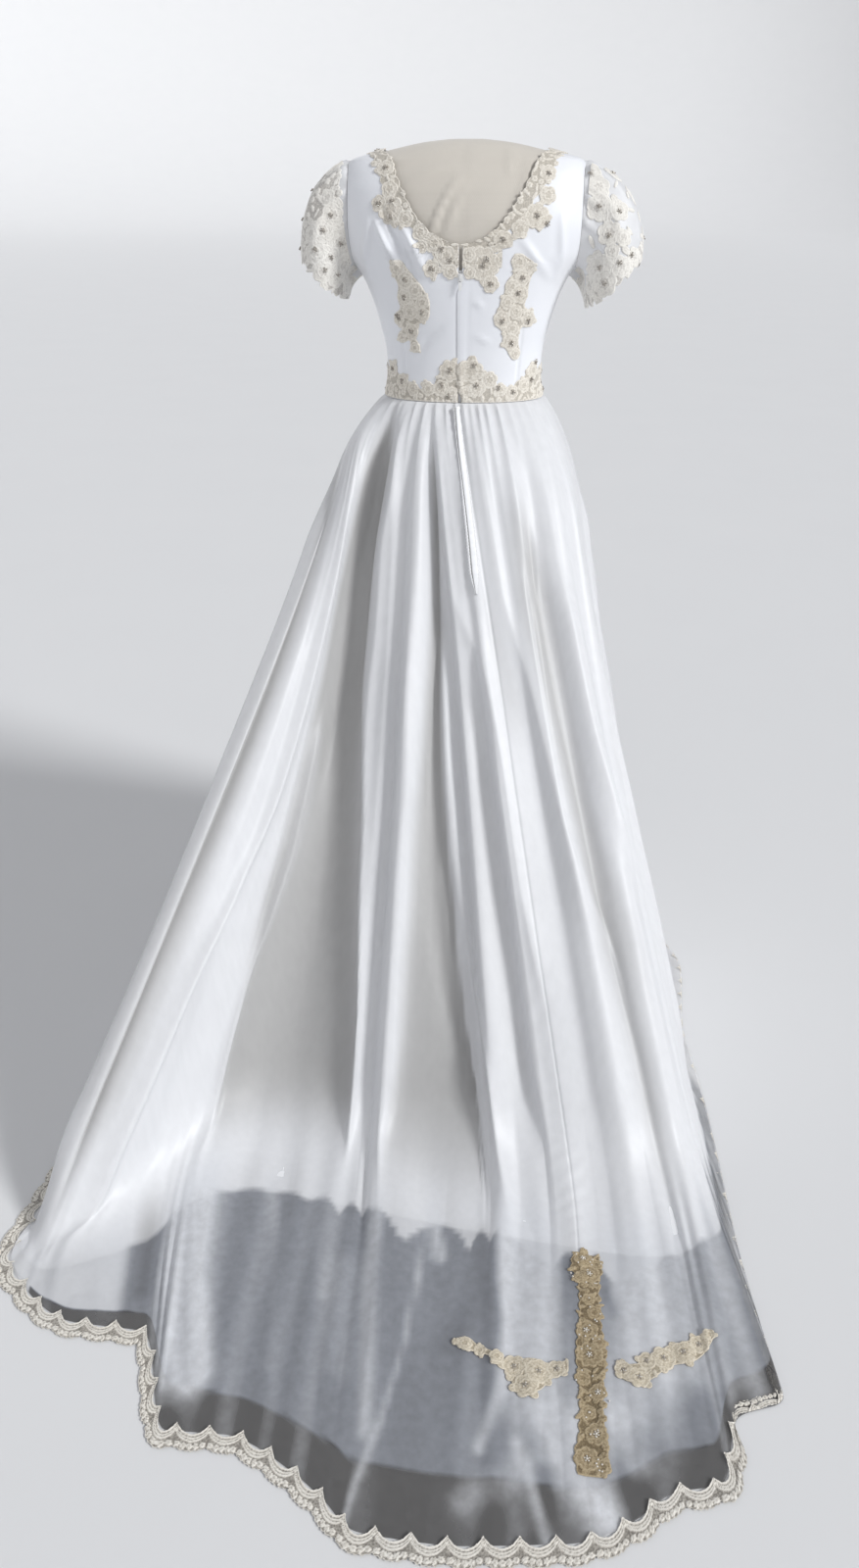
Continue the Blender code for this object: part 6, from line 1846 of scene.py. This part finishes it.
# Flowers on the sleeves seen from behind, as on the neck.
SLEEVE_FLOWERS = {
    "left": [(0.192, 1.271, 0.024, 7), (0.211, 1.248, 0.022, 6), (0.232, 1.258, 0.019, 6),
             (0.220, 1.288, 0.020, 6), (0.204, 1.310, 0.018, 6), (0.220, 1.230, 0.018, 6),
             (0.200, 1.224, 0.018, 6), (0.190, 1.206, 0.014, 5), (0.212, 1.334, 0.014, 5),
             (0.238, 1.284, 0.014, 5), (0.190, 1.240, 0.017, 6)],
    "right": [(-0.186, 1.366, 0.018, 6), (-0.202, 1.348, 0.019, 6), (-0.205, 1.322, 0.021, 6),
              (-0.235, 1.318, 0.017, 5), (-0.222, 1.286, 0.019, 6), (-0.244, 1.280, 0.014, 5),
              (-0.228, 1.262, 0.012, 5), (-0.209, 1.238, 0.023, 7), (-0.219, 1.216, 0.021, 6),
              (-0.243, 1.240, 0.017, 6), (-0.262, 1.254, 0.014, 6), (-0.198, 1.212, 0.015, 5)],
}
SLEEVE_BEADS = {
    "left": [(0.192, 1.271), (0.207, 1.251), (0.218, 1.289), (0.231, 1.262), (0.216, 1.233),
             (0.199, 1.226), (0.206, 1.310)],
    "right": [(-0.205, 1.322), (-0.235, 1.315), (-0.222, 1.283), (-0.211, 1.238),
              (-0.219, 1.217), (-0.240, 1.246), (-0.186, 1.366), (-0.258, 1.256)],
}


def sleeve_patch(points, out):
    """A sleeve's surface from the armhole to past its cuff: u is the way round its middle, v the
    way down, and cuff the way down to the cuff at each column."""
    last = points.shape[0] - 1
    rows = np.arange(2.0, last + 4.2, SLEEVE_LACE_STEP)
    columns = np.arange(0, points.shape[1] - 1 + 1e-6, 0.4)
    spots = sample(points, rows[:, None], columns[None, :])
    around = way_along(smoothed(points[last // 2], 8))
    u = np.interp(columns, np.arange(len(around)), around)
    v = np.linalg.norm(np.diff(spots, axis=0), axis=-1).cumsum(0)
    v = np.concatenate([np.zeros((1, len(columns))), v])
    cuff = v[-1] - (rows[-1] - last) / SLEEVE_LACE_STEP * (v[-1] - v[-2])
    return {"points": spots, "out": unit(sample(out, rows[:, None], columns[None, :])),
            "u": np.broadcast_to(u, v.shape).copy(), "v": v, "cuff": cuff}


def smoothed(ring, reach):
    """A closed ring of points, each averaged with reach more on either side of it."""
    lapped_ring = np.concatenate([ring[-reach - 1:-1], ring, ring[1:reach + 1]])
    kernel = np.ones(2 * reach + 1) / (2 * reach + 1)
    return np.stack([np.convolve(column, kernel, "valid") for column in lapped_ring.T], -1)


def build_sleeve_lace(grids):
    """Lace all over the left sleeve, and round the right one's cuff with flowers above it."""
    for side_name, (points, out) in grids.items():
        patch = sleeve_patch(points, out)
        u, v, cuff = patch["u"], patch["v"], patch["cuff"]
        girth = u[0, -1]
        round_it = math.pi * u * round(girth / SLEEVE_SCALLOP) / girth
        wave, top = np.abs(np.sin(round_it)), np.abs(np.sin(round_it + 0.9))
        border = 0.004 + 0.003 * top if side_name == "left" else cuff - 0.017 - 0.006 * top
        base = np.minimum(cuff + 0.0015 + 0.006 * wave - v, v - border)
        motifs = placed(patch, SLEEVE_FLOWERS[side_name])
        unseen = patch["points"][..., 1] < SLEEVE_SEEN[side_name]
        inside = np.minimum(np.where(unseen, cuff - v, -1.0), v - 0.012)
        motifs += seeded_flowers(patch, scattered(patch, inside, 0.034, 0.004),
                                 (0.014, 0.019), 6, 0.5)
        motifs += [("leaf", a, b, random.uniform(0.006, 0.010), random.uniform(0.0024, 0.0034),
                    random.uniform(0, 3.14))
                   for a, b in scattered(patch, np.minimum(cuff - v, v - 0.010), 0.023, 0.002)
                   if clear_of(motifs, a, b, 0.003)]
        motifs = filling(patch, base, 0.009, motifs) + motifs
        cut_out("lace_sleeve_" + side_name, patch, base, motifs, SLEEVE_LACE,
                ["sleeve_lace_" + side_name], slanted=True)
        for x, z in SLEEVE_BEADS[side_name]:
            bead_cluster(patch, *near(patch, x, z))


def hem_patch(first, last):
    """The strip past the organza's edge: u is the way along the hem and v the distance out."""
    places = np.linspace(0, len(FOLDS), 7201)
    plan = skirt_base(places, np.array([(1, 1, 1.0)]))[0][0]
    way = unit(turned_out(np.gradient(plan, axis=0))[:, :2] + skirt_lengths(places)[2])
    way = unit(smoothed(way, 30))
    along = way_along(plan)
    low, high = np.interp([first, last], places, along)
    u = np.linspace(low, high, round((high - low) / HEM_STEP))
    edge = np.stack([np.interp(u, along, plan[:, k]) for k in (0, 1)], -1)
    way = unit(np.stack([np.interp(u, along, way[:, k]) for k in (0, 1)], -1))
    place = np.interp(u, along, places)
    tucked = smooth_step((place - 17.6) / 0.5) * smooth_step((24.6 - place) / 0.5)
    v = np.arange(-0.0132, 0.0290, HEM_STEP)[:, None]
    flat = edge + way * (v * (1 - 1.7 * tucked * (v > 0)))[..., None]
    height = 0.0007 - 0.0004 * tucked + 0.0015 * smooth_step(-v / 0.004)
    points = np.concatenate([flat, height[..., None]], -1)
    u, v = (np.array(a) for a in np.broadcast_arrays(u[None, :], v))
    return {"points": points, "out": np.broadcast_to(np.array((0, 0, 1.0)), points.shape),
            "u": u, "v": v}


def build_hem_lace():
    """Scalloped edging round the whole hem, with five small blossoms outside each arc."""
    for name, first, last in (("left", 0, CENTRE_FOLD), ("right", CENTRE_FOLD, RIGHT_SEAM_FOLD),
                              ("front", RIGHT_SEAM_FOLD, len(FOLDS))):
        patch = hem_patch(first, last)
        u, v = patch["u"], patch["v"]
        start, length = u[0, 0], u[0, -1] - u[0, 0]
        count = round(length / HEM_PITCH)
        phase = (u - start) / length * count
        arch = np.abs(np.sin(math.pi * phase)) ** HEM_ARCH
        picot = 0.0017 * np.abs(np.sin(math.pi * phase * 6))
        inner = v - (HEM_INNER + HEM_RISE * arch)
        outer = LACE_WIDTH - 0.0015 - 0.0060 * (1 - arch) + picot - v
        motifs = [("flower", start + (k + step) / count * length,
                   0.0125 + 0.0065 * abs(math.sin(math.pi * step)) ** HEM_ARCH, 0.0040, 5,
                   0.3 * k + step)
                  for k in range(count) for step in HEM_BLOSSOMS]
        draw_hem(patch, np.minimum(inner, outer), inner, motifs, name)


def draw_hem(patch, base, inner, motifs, name):
    """Three cords along the arcs with bars between, and the blossoms outside them."""
    u = patch["u"]
    shape, rise, tone = draw(u, patch["v"], base, motifs)
    between = (inner > 0) & (inner < 0.0100)
    bars = (np.abs(np.sin(math.pi * u / HEM_BAR)) ** 3) * between
    rise = np.where(between, 0.0003, rise) + 0.0002 * bars
    tone = np.maximum(np.where(between, 0.12, tone), 0.45 * bars)
    for at, half in HEM_CORDS:
        cord = ridge(inner - at, half) * (base > 0)
        rise, tone = np.maximum(rise, 0.0011 * cord), np.maximum(tone, cord)
    drawn = {**patch, "points": patch["points"] + patch["out"] * rise[..., None]}
    cut_flat("lace_hem_" + name, drawn, np.maximum(shape, base), tone, "hem_lace_" + name)


def cut_flat(name, patch, inside, tone, node_name):
    """Lace whose rise is in its points already."""
    held = (inside > 0).ravel()
    quads = facing(patch["points"], grid_faces(inside.shape), patch["out"])
    kept = quads[held[quads].all(1)]
    part = quads[held[quads].sum(1) == 3]
    order = np.array([[1, 2, 3], [2, 3, 0], [3, 0, 1], [0, 1, 2]])
    missing = (~held[part]).argmax(1)
    triangles = np.concatenate([kept[:, [0, 1, 2]], kept[:, [0, 2, 3]],
                                np.take_along_axis(part, order[missing], 1)])
    used, index = np.unique(triangles, return_inverse=True)
    piece = new_piece(name, patch["points"].reshape(-1, 3)[used], index.reshape(-1, 3),
                      WHITE_LACE, tone=tone.ravel()[used])
    settle(piece, [node_name])


# The cross of lace on the train: flowers as x, y, radius, petals.
CROSS_FLOWERS = {
    "upright": [(-0.243, 0.860, 0.014, 6), (-0.262, 0.866, 0.009, 5), (-0.252, 0.884, 0.016, 7),
                (-0.236, 0.893, 0.008, 5), (-0.249, 0.926, 0.009, 5), (-0.258, 0.946, 0.011, 6),
                (-0.246, 0.974, 0.016, 6), (-0.262, 0.992, 0.010, 5), (-0.249, 1.010, 0.019, 8),
                (-0.240, 1.044, 0.011, 5), (-0.259, 1.062, 0.012, 6), (-0.246, 1.090, 0.010, 5),
                (-0.255, 1.118, 0.015, 6), (-0.243, 1.150, 0.016, 7), (-0.262, 1.160, 0.010, 5)],
    "left": [(-0.088, 1.010, 0.010, 5), (-0.108, 1.018, 0.009, 5), (-0.130, 1.026, 0.010, 5),
             (-0.152, 1.036, 0.017, 6), (-0.168, 1.062, 0.017, 6), (-0.184, 1.040, 0.018, 7),
             (-0.207, 1.034, 0.013, 5)],
    "right": [(-0.292, 1.028, 0.013, 5), (-0.311, 1.036, 0.015, 6), (-0.322, 1.012, 0.013, 5),
              (-0.344, 1.006, 0.017, 6), (-0.370, 0.996, 0.017, 6), (-0.392, 0.980, 0.014, 6),
              (-0.406, 0.966, 0.009, 5)],
}
# Each part's node, the corners of the grid it is cut from, its lace and its slot.
CROSS_PARTS = (
    ("upright", "train_cross_upright", (-0.285, 0.838), (-0.212, 1.182), TAN_LACE, "tan_lace"),
    ("left", "train_cross_arm_left", (-0.222, 0.984), (-0.066, 1.090), CREAM_LACE, "ivory_lace"),
    ("right", "train_cross_arm_right", (-0.418, 0.944), (-0.274, 1.060), CREAM_LACE,
     "ivory_lace"),
)


def train_patch(train, low, high):
    """A level grid dropped on the train: u and v are its x and y."""
    x, y = np.meshgrid(*(np.arange(low[k], high[k], LACE_STEP) for k in (0, 1)))
    points, out = np.zeros(x.shape + (3,)), np.zeros(x.shape + (3,))
    for at in np.ndindex(x.shape):
        place, normal = train.ray_cast(Vector((x[at], y[at], 0.3)), Vector((0, 0, -1)))[:2]
        points[at], out[at] = place, normal if normal.z > 0 else -normal
    for _ in range(3):
        out = unit(out + np.roll(out, 1, 0) + np.roll(out, -1, 0) + np.roll(out, 1, 1))
    return {"points": points, "out": out, "u": x, "v": y}


def cross_base(part, x, y):
    if part == "upright":
        half, middle = (look_up(UPRIGHT, UPRIGHT_COLUMNS, name, y) for name in ("half", "x"))
        wave = np.abs(np.sin(math.pi * y / CROSS_SCALLOP))
        return np.minimum.reduce([half - 0.0035 + 0.0025 * wave - np.abs(x - middle),
                                  y - 0.850, 1.171 - y])
    places, middles, halves = ARMS[part][np.argsort(ARMS[part][:, 0])].T
    along = np.clip(x, places[0], places[-1])
    half, middle = (curve(places, values, along) for values in (halves, middles))
    return np.minimum(0.72 * half - np.abs(y - middle),
                      np.minimum(x - places[0], places[-1] - x))


def build_cross(surface):
    """The cross of lace sprays on the train, an upright and two arms."""
    train = BVHTree.FromPolygons([Vector(p) for p in surface.reshape(-1, 3)],
                                 grid_faces(surface.shape[:2]).tolist())
    for part, node_name, low, high, material, slot in CROSS_PARTS:
        patch = train_patch(train, low, high)
        base = cross_base(part, patch["u"], patch["v"])
        motifs = placed(patch, CROSS_FLOWERS[part], 1)
        motifs = filling(patch, base, FILLING_STEP, motifs) + motifs
        cut_out("lace_cross_" + part, patch, base, motifs, material, [node_name], 0.0010)
        for x, y, radius, _ in CROSS_FLOWERS[part]:
            if radius > 0.011:
                bead_cluster(patch, x, y, 0.9, 5, part != "upright")
            if part == "upright":
                for _ in range(3):
                    bead_cluster(patch, x + random.uniform(-0.014, 0.014),
                                 y + random.uniform(-0.014, 0.014), 0.7, 0, False)


# ---------------------------------------------------------------- beads and sheets
def build_beads():
    """All beads of one colour as one piece, small balls at the places kept in beads."""
    shape = bmesh.new()
    bmesh.ops.create_icosphere(shape, subdivisions=2, radius=1.0)
    points = np.array([v.co for v in shape.verts])
    faces = np.array([[v.index for v in f.verts] for f in shape.faces])
    shape.free()
    for name, smoky, material in (("pearl_beads", False, PEARL),
                                  ("smoke_beads", True, SMOKE_BEAD)):
        chosen = np.array([b[:4] for b in beads if bool(b[4]) == smoky])
        every = chosen[:, None, :3] + points[None] * chosen[:, None, 3:4]
        offsets = np.arange(len(chosen))[:, None, None] * len(points)
        piece = new_piece(name, every, (faces[None] + offsets).reshape(-1, 3), material)
        settle(piece)


def main():
    set_stage()
    build_form()
    panels = build_bodice()
    sleeves = build_sleeves(panels)
    build_zip()
    back, columns = build_skirt()
    build_placket(back, columns)
    build_bodice_lace(panels)
    build_sleeve_lace(sleeves)
    build_hem_lace()
    build_cross(back)
    build_beads()


main()
